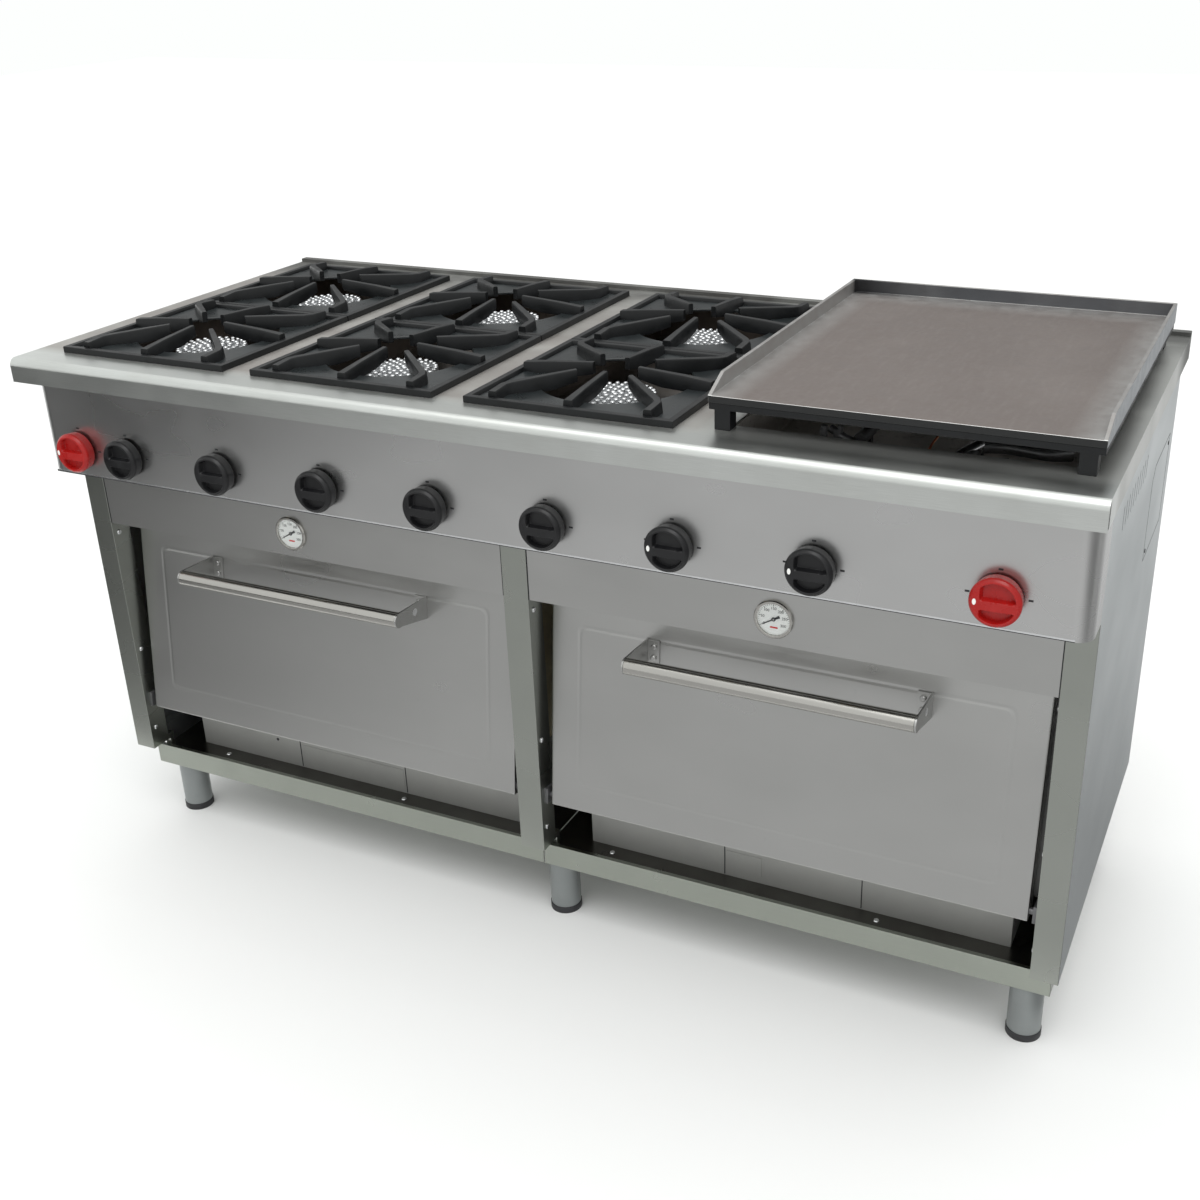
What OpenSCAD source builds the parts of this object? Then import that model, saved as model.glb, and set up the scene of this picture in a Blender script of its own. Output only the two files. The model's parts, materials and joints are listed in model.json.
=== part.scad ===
// Commercial gas range: six open burners, a lift-off griddle and two ovens with
// gravity-closed, bottom-hinged doors, standing on six tubular legs.
// Millimetres. X runs along the front, the front faces -Y, Z is up, the floor is Z = 0.

/* [Overall] */
// Width over the countertop rim
range_w = 1700; // [1690:5:1760]
// Depth over the countertop rim
range_d = 770; // [765:5:800]
// Height of the cooking top above the floor
counter_h = 925; // [920:1:935]
// Thickness of the folded sheet
sheet = 1.5; // [1.2:0.1:2]

/* [Countertop] */
// Height of the rim's front face
rim_h = 38; // [32:1:40]
// Radius of the rim's rounded front edge
rim_r = 12; // [8:1:14]
// Height of the strip along the back edge
back_strip_h = 6; // [4:1:10]
// Distance from the rim's front to the control panel
rim_overhang = 35; // [30:1:38]

/* [Control panel] */
// Height of the panel's bottom edge above the floor
panel_bottom = 726; // [722:1:730]
// Radius of the panel's vertical end corners
panel_corner_r = 24; // [15:1:28]
// Height of the knob axes above the floor
knob_z = 771; // [765:1:780]
// Diameter of a knob
knob_d = 66; // [60:1:72]
// Height of a knob's front face above its back
knob_h = 22; // [20:1:28]

/* [Body] */
// Width over the side panels
body_w = 1687; // [1683:1:1690]
// Distance from the rim's front to the door posts
post_setback = 99; // [96:1:102]
// Width of an end post
post_w = 40; // [36:1:42]
// Width of the centre post
centre_post_w = 43; // [38:1:46]
// Height of the posts' bottom edge above the floor
post_bottom = 160; // [155:1:165]
// Distance that the countertop reaches past the body at the back
back_overhang = 25; // [20:1:30]
// Height of the fascia's bottom edge above the floor
fascia_bottom = 612; // [611:1:616]

/* [Doors] */
// Width of a door
door_w = 757; // [745:1:758]
// Height of a door along its slope
door_h = 361; // [355:1:361]
// Thickness of a door
door_t = 35; // [30:1:36]
// Angle by which the top of a door leans back
door_lean = 6.6; // [5:0.1:7]
// Diameter of the handle bar
handle_d = 25; // [20:1:26]
// Length of the handle bar
handle_l = 430; // [380:5:460]

/* [Burners] */
// Side of a square grate
grate_w = 323; // [320:1:326]
// Distance between neighbouring grate columns
grate_pitch = 376; // [374:1:380]
// Diameter of a burner head
burner_d = 118; // [100:1:124]

/* [Griddle] */
// Width of the griddle
griddle_w = 505; // [495:1:510]
// Depth of the griddle
griddle_d = 615; // [600:1:620]
// Height of the griddle's surface above the countertop
griddle_rise = 46; // [42:1:50]

/* [Base] */
// Diameter of a leg
leg_d = 51; // [45:1:54]
// Height of the base tray's rail above the floor
tray_bottom = 109; // [106:1:112]

/* [Hidden] */
$fn = 96;

// Planes along Y
front_y = -range_d / 2;
back_y = range_d / 2;
panel_y = front_y + rim_overhang;
post_y = front_y + post_setback;
body_back_y = back_y - back_overhang;
seam_y = post_y + sheet;

// Body and bays
body_x = body_w / 2;
bay_w = (body_w - 2 * post_w - centre_post_w) / 2;
bay_x = (centre_post_w + bay_w) / 2;
rim_bottom = counter_h - rim_h;
return_d = 40;
foot_d = 10;
top_t = 2;
under_top_z = counter_h - top_t;

// Columns of burners, counted from the left
column_x = [-631, -631 + grate_pitch, -631 + 2 * grate_pitch];
grate_front_y = front_y + 60;
grate_gap = 2;
row_y = [grate_front_y + grate_w / 2, grate_front_y + grate_gap + 1.5 * grate_w];
well_w = 300;
well_front_y = grate_front_y + 11;
well_back_y = grate_front_y + 2 * grate_w + grate_gap - 11;
well_depth = 62;
well_flange = 8;
well_floor_z = counter_h - top_t - well_depth;
neck_r = 24;

// Griddle
griddle_x = 578;
griddle_y = front_y + 76;
griddle_well_w = griddle_w - 50;
griddle_well_front_y = griddle_y + 26;
griddle_well_back_y = griddle_y + griddle_d - 26;
griddle_top_z = counter_h + griddle_rise;
griddle_plate_t = 10;
griddle_guard_h = 20;
griddle_guard_t = 5;
griddle_leg = 22;
griddle_bar_h = 9;
griddle_leg_inset = 8;
griddle_bar_t = 5;

griddle_tube_z = counter_h - 24;
griddle_tube_reach = 75;

// Knobs: six for the burners and one for the griddle in a row, the oven knobs at its ends
burner_knob_x = [-667.5, -481.5, -289, -96, 97, 290, 489.5];
oven_knob_x = [-768, 728];
knob_x = concat(burner_knob_x, oven_knob_x);
knob_gap = 4;
spindle_r = 4;
running_gap = 0.05;
spindle_hole_r = 7;
valve_front_y = panel_y + sheet + 4;
valve_l = 30;
valve_r = 11;
manifold_r = 13.5;
manifold_y = valve_front_y + valve_l + manifold_r - 1;
manifold_half = 800;
inlet_r = 10.5;
inlet_x = 790;
pipe_r = 4;
elbow = 12;
pipe_y = valve_front_y + 10;
riser_y = griddle_well_front_y + 18;
tube_z = well_floor_z - 30;
tube_r = 13;
tube_x = [-10, 44];
tube_front_y = manifold_y + manifold_r + 14;

// Doors: u runs up the sloping face from its bottom edge, v runs out from it
door_foot_y = post_y + 11;
door_foot_z = 247;
pivot_u = 12;
pivot_v = -12;
pin_r = 5;
pin_l = 12;
bracket_t = 6;
bar_u = 298;
bar_v = 77;
bracket_plate_t = 3;
mouth_gap = 1.5;

// Ovens
oven_w = 660;
oven_floor_z = 262;
oven_sole_z = 298;
oven_top_z = 578;
oven_back_y = body_back_y - 55;
blanket_t = 24;
blanket_front_y = post_y + 110;
frame_w = bay_w - 8;
mouth_frame_t = 3;
rack_z = 430;
rack_r = 3.5;
ledge_z = [oven_sole_z - 4, rack_z - rack_r - 90, rack_z - rack_r, rack_z - rack_r + 90];
base_front_y = front_y + 186;
base_half = 348;
burner_pipe_end = 16;

// Base
tray_floor_z = 137;
tray_lip_z = 148.5;
tray_lip_d = 8;
tray_y = front_y + 133;
tray_back_y = body_back_y - 30;
tray_x = 830;
leg_x = [-792, 14, 792];
leg_y = [front_y + 175, body_back_y - 95];
leg_wall = 2;
cap_h = 12;
cap_r = leg_d / 2 + 1;

// Thermometers
gauge_z = 653;
gauge_r = 29;
gauge_body_r = 25;
gauge_lip = 5;
gauge_body_l = 14;
needle_y = post_y - 1.6;

// Colours
steel = [0.66, 0.67, 0.66];
steel_light = [0.76, 0.77, 0.76];
steel_dark = [0.45, 0.46, 0.45];
iron = [0.17, 0.18, 0.19];
black = [0.10, 0.10, 0.11];
red = [0.78, 0.12, 0.10];
griddle_brown = [0.50, 0.46, 0.44];
chrome = [0.82, 0.83, 0.84];
wool = [0.80, 0.74, 0.55];
brass = [0.75, 0.62, 0.32];
glass = [0.85, 0.92, 0.95, 0.4];

// ---- Helpers ----

// A block between its lowest and highest corners
module block(low, high) {
    translate(low) cube([high[0] - low[0], high[1] - low[1], high[2] - low[2]]);
}

// A rod along Y from y1 to y2
module rod_y(x, y1, y2, z, r) {
    translate([x, y1, z]) rotate([-90, 0, 0]) cylinder(h = y2 - y1, r = r);
}

// A rod along X from x1 to x2
module rod_x(x1, x2, y, z, r) {
    translate([x1, y, z]) rotate([0, 90, 0]) cylinder(h = x2 - x1, r = r);
}

// Places a child in a door's own axes: x along the bay, y into the door, z up its slope
module on_door(side) {
    translate([side * bay_x, door_foot_y, door_foot_z]) rotate([-door_lean, 0, 0]) children();
}

// An open pan: outer size, wall and an outward flange along the top
module pan(x, y1, y2, w, z_floor, z_top, flange) {
    difference() {
        union() {
            block([x - w / 2, y1, z_floor], [x + w / 2, y2, z_top]);
            block([x - w / 2 - flange, y1 - flange, z_top - sheet],
                  [x + w / 2 + flange, y2 + flange, z_top]);
        }
        block([x - w / 2 + sheet, y1 + sheet, z_floor + sheet],
              [x + w / 2 - sheet, y2 - sheet, z_top + 1]);
    }
}

// ---- Countertop and panels ----

// Section of the rim: rounded front, open towards the back
module rim_section() {
    difference() {
        union() {
            square([rim_overhang, rim_h - rim_r]);
            translate([rim_r, 0]) square([rim_overhang - rim_r, rim_h]);
            translate([rim_r, rim_h - rim_r]) circle(r = rim_r);
        }
        translate([top_t, top_t]) square([rim_overhang, rim_h - rim_r - top_t]);
        translate([rim_r, top_t]) square([rim_overhang, rim_h - 2 * top_t]);
        translate([rim_r, rim_h - rim_r]) circle(r = rim_r - top_t);
    }
}

module countertop() {
    half = range_w / 2;
    color(steel_light) difference() {
        union() {
            translate([-half, front_y, rim_bottom])
                rotate([90, 0, 90]) linear_extrude(height = range_w) rim_section();
            block([-half, front_y + rim_r, counter_h - top_t], [half, back_y, counter_h]);
            for (s = [-1, 1])
                block([s < 0 ? -half : half - top_t, front_y + rim_r, rim_bottom],
                      [s < 0 ? -half + top_t : half, back_y, counter_h]);
            block([-half, back_y - top_t, rim_bottom], [half, back_y, counter_h + back_strip_h]);
            block([-half, back_y - 15, counter_h - top_t],
                  [half, back_y, counter_h + back_strip_h]);
        }
        for (x = column_x)
            block([x - well_w / 2, well_front_y, counter_h - 3 * top_t],
                  [x + well_w / 2, well_back_y, counter_h + 1]);
        block([griddle_x - griddle_well_w / 2, griddle_well_front_y, counter_h - 3 * top_t],
              [griddle_x + griddle_well_w / 2, griddle_well_back_y, counter_h + 1]);
    }
}

// Outline of the control panel seen from above, drawn in by an inset
module panel_outline(inset) {
    r = panel_corner_r - inset;
    w = body_x - inset;
    for (s = [-1, 1])
        translate([s * (body_x - panel_corner_r), panel_y + panel_corner_r]) circle(r = r);
    translate([-body_x + panel_corner_r, panel_y + inset])
        square([body_w - 2 * panel_corner_r, seam_y - panel_y - inset]);
    translate([-w, panel_y + panel_corner_r])
        square([2 * w, seam_y - panel_y - panel_corner_r]);
}

module panel_wall(inset) {
    difference() {
        panel_outline(0);
        panel_outline(inset);
        translate([-body_x + inset, seam_y - 1]) square([body_w - 2 * inset, 2]);
    }
}

module control_panel() {
    lip = 14;
    color(steel) difference() {
        union() {
            translate([0, 0, panel_bottom])
                linear_extrude(height = under_top_z - panel_bottom) panel_wall(sheet);
            translate([0, 0, panel_bottom]) linear_extrude(height = sheet) panel_wall(lip);
        }
        for (x = knob_x) rod_y(x, panel_y - 1, panel_y + 10, knob_z, spindle_hole_r);
    }
}

// Side panel with a back flange, a row of vertical louvre slots and an angle that stands on
// the base tray; s is the side
module side_panel(s) {
    inner = body_x - sheet;
    slot_pitch = 23;
    foot_y1 = tray_y + 24;
    foot_y2 = tray_back_y - 20;
    color(steel_light) difference() {
        union() {
            block([s < 0 ? -body_x : inner, seam_y, post_bottom],
                  [s < 0 ? -inner : body_x, body_back_y, under_top_z]);
            block([s < 0 ? -body_x : body_x - 18, body_back_y - sheet, post_bottom],
                  [s < 0 ? -body_x + 18 : body_x, body_back_y, under_top_z]);
            block([s < 0 ? -inner - 1 : tray_x - 5, foot_y1, post_bottom + 15],
                  [s < 0 ? -tray_x + 5 : inner + 1, foot_y2, post_bottom + 15 + sheet]);
            block([s < 0 ? -tray_x + 5 - sheet : tray_x - 5, foot_y1, tray_floor_z],
                  [s < 0 ? -tray_x + 5 : tray_x - 5 + sheet, foot_y2, post_bottom + 15 + sheet]);
        }
        for (i = [0:9])
            translate([s * (inner + sheet / 2), seam_y + 105 + i * slot_pitch, rim_bottom - 60])
                cube([4 * sheet, 5, 34], center = true);
    }
}

module back_panel() {
    edge = body_x - 20;
    y = body_back_y - 2 * sheet;
    color(steel_dark) difference() {
        block([-edge, y, post_bottom], [edge, y + sheet, under_top_z]);
        rod_y(inlet_x, y - 1, y + 3, knob_z, inlet_r + 7);
        for (s = [-1, 1], i = [-4:4])
            block([s * bay_x + i * 30 - 4, y - 1, 790], [s * bay_x + i * 30 + 4, y + 3, 850]);
    }
}

// Folded post: a front flange with a return on each side that faces a bay, and a foot on the tray
module post(x1, x2, left_return, right_return) {
    foot_w = 12;
    foot_x1 = left_return ? x1 : x2 - foot_w;
    foot_x2 = right_return ? x2 : x1 + foot_w;
    foot_y = tray_y + tray_lip_d + 1;
    color(steel) {
        block([foot_x1, foot_y, tray_floor_z], [foot_x2, foot_y + foot_d, post_bottom + foot_d]);
        block([foot_x1, post_y + return_d - 1, post_bottom],
              [foot_x2, foot_y + foot_d, post_bottom + foot_d]);
        block([x1, post_y, post_bottom], [x2, seam_y, panel_bottom]);
        if (left_return)
            block([x1, seam_y, post_bottom], [x1 + sheet, post_y + return_d, panel_bottom]);
        if (right_return)
            block([x2 - sheet, seam_y, post_bottom], [x2, post_y + return_d, panel_bottom]);
    }
}

module fascia(side) {
    x1 = side * bay_x - bay_w / 2;
    x2 = side * bay_x + bay_w / 2;
    color(steel) difference() {
        union() {
            block([x1, seam_y, fascia_bottom], [x2, seam_y + sheet, panel_bottom]);
            block([x1 + sheet, seam_y, fascia_bottom],
                  [x2 - sheet, seam_y + 12, fascia_bottom + sheet]);
        }
        rod_y(side * bay_x, seam_y - 1, seam_y + 3, gauge_z, gauge_body_r);
    }
}

// ---- Base ----

// Shallow tray whose outer end and back are turned down, with a lipped rail along the front
module base_tray(x1, x2) {
    inner_left = x1 < -1 ? x1 + sheet : x1 - 1;
    inner_right = x1 < -1 ? x2 + 1 : x2 - sheet;
    color(steel) difference() {
        union() {
            block([x1, tray_y, tray_bottom], [x2, tray_back_y, tray_floor_z]);
            block([x1, tray_y, tray_bottom], [x2, tray_y + tray_lip_d, tray_lip_z]);
        }
        block([inner_left, tray_y + sheet, tray_bottom - 1],
              [inner_right, tray_back_y - sheet, tray_floor_z - sheet]);
        block([x1 - 1, tray_y + sheet, tray_floor_z],
              [x2 + 1, tray_y + tray_lip_d + 1, tray_lip_z - sheet]);
    }
}

// Tubular legs, closed at the top, under the trays
module legs() {
    top = tray_floor_z - sheet;
    color(steel_light) for (x = leg_x, y = leg_y)
        translate([x, y, 0]) difference() {
            translate([0, 0, cap_h]) cylinder(h = top - cap_h, d = leg_d);
            translate([0, 0, cap_h - 1])
                cylinder(h = top - cap_h - leg_wall, d = leg_d - 2 * leg_wall);
        }
}

module foot_caps() {
    color(black) for (x = leg_x, y = leg_y)
        translate([x, y, 0]) {
            cylinder(h = cap_h, r = cap_r);
            translate([0, 0, cap_h]) cylinder(h = cap_h, d = leg_d - 2 * leg_wall);
        }
}

// Folded channel under an oven: its front is the kick panel, its sides carry the oven
module oven_bases() {
    color(steel_light) for (s = [-1, 1])
        difference() {
            block([s * bay_x - base_half, base_front_y, tray_floor_z],
                  [s * bay_x + base_half, oven_back_y, oven_floor_z - sheet]);
            block([s * bay_x - base_half + sheet, base_front_y + sheet, tray_floor_z - 1],
                  [s * bay_x + base_half - sheet, oven_back_y + 1, oven_floor_z + 1]);
        }
}

// ---- Ovens ----

// Half-space in front of the sloping oven mouth
module door_space(side, back) {
    on_door(side) translate([-500, -500, -300]) cube([1000, 500 + back, 1000]);
}

module oven_liner(side) {
    x = side * bay_x;
    w = oven_w / 2;
    back = door_t + mouth_gap;
    frame_top = door_h - 4;
    frame_foot = 22;
    ledge = 8;
    color(steel_dark) difference() {
        union() {
            difference() {
                block([x - w - sheet, post_y + 20, oven_floor_z - sheet],
                      [x + w + sheet, oven_back_y, oven_top_z + sheet]);
                block([x - w, post_y, oven_floor_z], [x + w, oven_back_y - sheet, oven_top_z]);
                door_space(side, back);
            }
            for (s = [-1, 1], z = ledge_z)
                block([s < 0 ? x - w : x + w - ledge, blanket_front_y, z - sheet],
                      [s < 0 ? x - w + ledge : x + w, oven_back_y - 20, z]);
            on_door(side) block([-frame_w / 2, back, frame_foot],
                                [frame_w / 2, back + mouth_frame_t, frame_top]);
        }
        block([x - w, post_y, oven_sole_z - 4], [x + w, blanket_front_y - 1, oven_top_z]);
        supply_hole(side);
    }
}

// Passage for the oven burner's supply pipe through the outer side wall and its blanket
module supply_hole(side) {
    reach = oven_w / 2 + blanket_t + 10;
    rod_x(side * bay_x + (side < 0 ? -reach : oven_w / 2 - 10),
          side * bay_x + (side < 0 ? -oven_w / 2 + 10 : reach),
          blanket_front_y + 60, oven_floor_z + 15, pipe_r + 1.5);
}

// Blanket over the top, sides and back of each oven
module oven_insulation() {
    inner = oven_w / 2 + sheet;
    color(wool) for (s = [-1, 1])
        difference() {
            block([s * bay_x - inner - blanket_t, blanket_front_y, oven_floor_z],
                  [s * bay_x + inner + blanket_t, oven_back_y + blanket_t,
                   oven_top_z + sheet + blanket_t]);
            block([s * bay_x - inner, blanket_front_y - 1, oven_floor_z - 1],
                  [s * bay_x + inner, oven_back_y, oven_top_z + sheet]);
            supply_hole(s);
        }
}

// Wire rack: two side rods, a front and a back rod, and cross wires lying on them
module oven_racks() {
    wires = 13;
    half = oven_w / 2 - 6;
    y1 = blanket_front_y + 10;
    y2 = oven_back_y - 30;
    wire_r = 2;
    pitch = (2 * half - 4 * rack_r) / (wires + 1);
    color(chrome) for (s = [-1, 1]) translate([s * bay_x, 0, rack_z]) {
        for (e = [-1, 1]) rod_y(e * (half - rack_r), y1, y2, 0, rack_r);
        for (y = [y1 + 12, y2 - 12]) rod_x(-half + rack_r, half - rack_r, y, 0, rack_r - 0.6);
        for (i = [1:wires])
            rod_y(-half + 2 * rack_r + i * pitch, y1 + 8, y2 - 8, rack_r, wire_r);
    }
}

module oven_sole_plates() {
    slot = 40;
    color(steel_dark) for (s = [-1, 1])
        difference() {
            block([s * bay_x - oven_w / 2 + 1, blanket_front_y, oven_sole_z - 4],
                  [s * bay_x + oven_w / 2 - 1, oven_back_y - 12, oven_sole_z]);
            for (e = [-1, 1], i = [0:4])
                translate([s * bay_x + e * (oven_w / 2 - 24),
                           blanket_front_y + 70 + i * 80, oven_sole_z - 2])
                    cube([12, slot, 10], center = true);
        }
}

// Straight burner tube under the sole plate, with a socket for its supply pipe
module oven_burners() {
    r = 12;
    z = oven_floor_z + 15;
    y = blanket_front_y + 60;
    color(steel_dark) for (s = [-1, 1]) difference() {
        union() {
            rod_y(s * bay_x, blanket_front_y + 20, oven_back_y - 60, z, r);
            rod_x(s < 0 ? s * bay_x - 26 : s * bay_x, s < 0 ? s * bay_x : s * bay_x + 26, y, z, 8);
            for (foot_y = [y + 40, oven_back_y - 100])
                block([s * bay_x - 9, foot_y, oven_floor_z], [s * bay_x + 9, foot_y + 6, z]);
        }
        rod_x(s * bay_x + (s < 0 ? -27 : burner_pipe_end), s * bay_x + (s < 0 ? -burner_pipe_end : 27),
              y, z, pipe_r);
    }
}

// ---- Burners ----

// Pans hung in the countertop's four openings, holed for the burners' necks and the griddle's riser
module spill_trays() {
    color(steel_dark) {
        for (x = column_x)
            difference() {
                pan(x, well_front_y + 1, well_back_y - 1, well_w - 2, well_floor_z,
                    counter_h - top_t, well_flange);
                for (y = row_y)
                    translate([x, y, well_floor_z - 1]) cylinder(h = 10, r = neck_r + 3);
            }
        difference() {
            pan(griddle_x, griddle_well_front_y + 1, griddle_well_back_y - 1,
                griddle_well_w - 2, well_floor_z, counter_h - top_t, well_flange);
            translate([griddle_x + griddle_tube_reach, riser_y, well_floor_z - 1])
                cylinder(h = 10, r = pipe_r + 2);
        }
    }
}

// Cast cup, neck and mixing tube of each open burner; a rear tube passes beside the front cup
module burner_bodies() {
    cup_z = well_floor_z + 12;
    mouth = 40;
    half = 10;
    neck_z = tube_z - tube_r - 2;
    color(iron) for (x = column_x, row = [0, 1])
        translate([x, 0, 0]) difference() {
            union() {
                translate([0, row_y[row], neck_z]) cylinder(h = cup_z - neck_z, r = neck_r);
                translate([0, row_y[row], well_floor_z + sheet])
                    cylinder(h = cup_z - well_floor_z, r = 34);
                translate([0, row_y[row], cup_z]) cylinder(h = 16, r = burner_d / 2 - 8);
                block([min(-half, tube_x[row] - half), row_y[row] - half, tube_z - half],
                      [max(half, tube_x[row] + half), row_y[row] + half, tube_z + half]);
                rod_y(tube_x[row], tube_front_y, row_y[row], tube_z, tube_r);
            }
            rod_y(tube_x[row], tube_front_y - 1, tube_front_y + mouth, tube_z, tube_r - 4);
        }
}

// Drum-shaped heads with a ring of ports round each side and a raised middle
module burner_heads() {
    foot_z = well_floor_z + 28;
    r = burner_d / 2;
    color(chrome) for (x = column_x, y = row_y)
        translate([x, y, foot_z]) {
            cylinder(h = 12, r = r);
            translate([0, 0, 12]) cylinder(h = 6, r = r - 6);
            translate([0, 0, 18]) cylinder(h = 5, r = r / 3);
        }
}

// Cast grate: raised border, thin deck with a round window, eight fingers towards the middle
module grate(column, row) {
    half = grate_w / 2;
    border_w = 13;
    border_h = 10;
    deck_t = 4;
    window_r = 112;
    finger_t = 9;
    finger_top = 28;
    finger_root = 18;
    straight_tip = 34;
    diagonal_tip = 52;
    diagonal_share = 1.18;
    color(iron) translate([column_x[column], row_y[row], counter_h]) {
        difference() {
            block([-half, -half, 0], [half, half, border_h]);
            block([-half + border_w, -half + border_w, deck_t],
                  [half - border_w, half - border_w, border_h + 1]);
            translate([0, 0, -1]) cylinder(h = border_h, r = window_r);
        }
        for (i = [0:7]) {
            diagonal = i % 2;
            reach = diagonal == 1 ? half * diagonal_share : half - border_w;
            tip = diagonal == 1 ? diagonal_tip : straight_tip;
            rotate([0, 0, i * 45]) rotate([90, 0, 0])
                translate([0, 0, -finger_t / 2]) linear_extrude(height = finger_t)
                    polygon([[tip, finger_top - 9], [window_r - 8, 1], [reach, 1],
                             [reach, border_h - 1], [reach - 6, finger_root],
                             [tip + 6, finger_top], [tip, finger_top]]);
        }
    }
}

// ---- Griddle ----

// Two tubes joined by a bend at the back; the right one is open at the front for its gas jet
module griddle_burner() {
    r = 9;
    reach = griddle_tube_reach;
    y1 = riser_y + 22;
    y2 = griddle_well_back_y - 130;
    foot_y = [y1 + 60, y2 - 60];
    color(steel_dark) translate([griddle_x, 0, griddle_tube_z]) difference() {
        union() {
            rod_y(-reach, y1 + 30, y2, 0, r);
            rod_y(reach, y1, y2, 0, r);
            translate([0, y2, 0]) rotate_extrude(angle = 180) translate([reach, 0]) circle(r = r);
            for (s = [-1, 1], y = foot_y)
                block([s * reach - 7, y, well_floor_z + sheet - griddle_tube_z],
                      [s * reach + 7, y + 8, 0]);
        }
        rod_y(reach, y1 - 1, y1 + 40, 0, r - 2);
    }
}

module griddle_plate() {
    x = griddle_x;
    w = griddle_w / 2;
    z = griddle_top_z;
    y2 = griddle_y + griddle_d;
    ramp = 45;
    color(griddle_brown) {
        block([x - w, griddle_y, z - griddle_plate_t], [x + w, y2, z]);
        block([x - w, y2 - griddle_guard_t, z], [x + w, y2, z + griddle_guard_h]);
        for (s = [-1, 1])
            translate([s < 0 ? x - w : x + w - griddle_guard_t, 0, z])
                rotate([90, 0, 90]) linear_extrude(height = griddle_guard_t)
                    polygon([[griddle_y, 0], [griddle_y + ramp, griddle_guard_h],
                             [y2, griddle_guard_h], [y2, 0]]);
    }
}

// Flat-bar frame with four square legs that rest on the countertop
module griddle_stand() {
    x = griddle_x;
    w = griddle_w / 2 - 1;
    leg_out = w - griddle_leg_inset;
    z2 = griddle_top_z - griddle_plate_t;
    z1 = z2 - griddle_bar_h;
    y1 = griddle_y + 1;
    y2 = griddle_y + griddle_d - 1;
    color(black) {
        difference() {
            block([x - w, y1, z1], [x + w, y2, z2]);
            block([x - w + griddle_bar_t, y1 + griddle_bar_t, z1 - 1],
                  [x + w - griddle_bar_t, y2 - griddle_bar_t, z2 + 1]);
        }
        for (sx = [-1, 1], y = [y1, y2 - griddle_leg])
            block([sx < 0 ? x - leg_out : x + leg_out - griddle_leg, y, counter_h],
                  [sx < 0 ? x - leg_out + griddle_leg : x + leg_out, y + griddle_leg, z1]);
    }
}

// ---- Gas train ----

// Capped supply pipe behind the control panel
module gas_manifold() {
    cap_l = 20;
    cap_wall = 3;
    color(steel_dark) {
        rod_x(-manifold_half, manifold_half, manifold_y, knob_z, manifold_r);
        for (s = [-1, 1])
            rod_x(s < 0 ? -manifold_half : manifold_half - cap_l,
                  s < 0 ? -manifold_half + cap_l : manifold_half,
                  manifold_y, knob_z, manifold_r + cap_wall);
    }
}

// Taps seated on the manifold, each bored for its knob's spindle
module gas_valves() {
    color(brass) for (x = knob_x)
        difference() {
            rod_y(x, valve_front_y, manifold_y, knob_z, valve_r);
            rod_x(x - valve_r - 1, x + valve_r + 1, manifold_y, knob_z, manifold_r);
            rod_y(x, valve_front_y - 1, valve_front_y + 16, knob_z, spindle_r + running_gap);
        }
}

// A bend in a pipe, as a square fitting
module fitting(x, y, z) {
    translate([x, y, z]) cube(elbow, center = true);
}

// Riser from a tap to tube height, a run along X and a jet that points into the tube
module burner_feed(from_x, to_x, jet_end_y) {
    translate([from_x, pipe_y, knob_z + valve_r - 1]) cylinder(h = tube_z - knob_z - valve_r, r = pipe_r);
    fitting(from_x, pipe_y, tube_z);
    rod_x(min(from_x, to_x), max(from_x, to_x), pipe_y, tube_z, pipe_r);
    fitting(to_x, pipe_y, tube_z);
    rod_y(to_x, pipe_y, jet_end_y, tube_z, pipe_r);
}

module gas_pipes() {
    jet_end_y = tube_front_y + 12;
    griddle_tube_x = griddle_x + griddle_tube_reach;
    down_y = post_y + return_d + 12;
    down_z = knob_z - valve_r - 18;
    side_x = body_x - 25;
    burner_y = blanket_front_y + 60;
    burner_z = oven_floor_z + 15;
    color(brass) difference() {
        union() {
            for (c = [0:2], row = [0, 1])
                burner_feed(burner_knob_x[2 * c + row], column_x[c] + tube_x[row], jet_end_y);
            burner_feed(burner_knob_x[6], griddle_tube_x, riser_y);
            fitting(griddle_tube_x, riser_y, tube_z);
            translate([griddle_tube_x, riser_y, tube_z])
                cylinder(h = griddle_tube_z - tube_z, r = pipe_r);
            fitting(griddle_tube_x, riser_y, griddle_tube_z);
            rod_y(griddle_tube_x, riser_y, riser_y + 30, griddle_tube_z, pipe_r);
            for (i = [0, 1]) {
                s = i == 0 ? -1 : 1;
                x = oven_knob_x[i];
                translate([x, pipe_y, down_z]) cylinder(h = knob_z - down_z - valve_r + 1, r = pipe_r);
                fitting(x, pipe_y, down_z);
                rod_y(x, pipe_y, down_y, down_z, pipe_r);
                fitting(x, down_y, down_z);
                rod_x(min(x, s * side_x), max(x, s * side_x), down_y, down_z, pipe_r);
                fitting(s * side_x, down_y, down_z);
                rod_y(s * side_x, down_y, burner_y, down_z, pipe_r);
                fitting(s * side_x, burner_y, down_z);
                translate([s * side_x, burner_y, burner_z]) cylinder(h = down_z - burner_z, r = pipe_r);
                fitting(s * side_x, burner_y, burner_z);
                rod_x(min(s * (bay_x + burner_pipe_end), s * side_x),
                      max(s * (bay_x + burner_pipe_end), s * side_x), burner_y, burner_z, pipe_r);
            }
        }
        for (x = knob_x)
            rod_y(x, valve_front_y - 1, manifold_y, knob_z, valve_r);
    }
}

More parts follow.
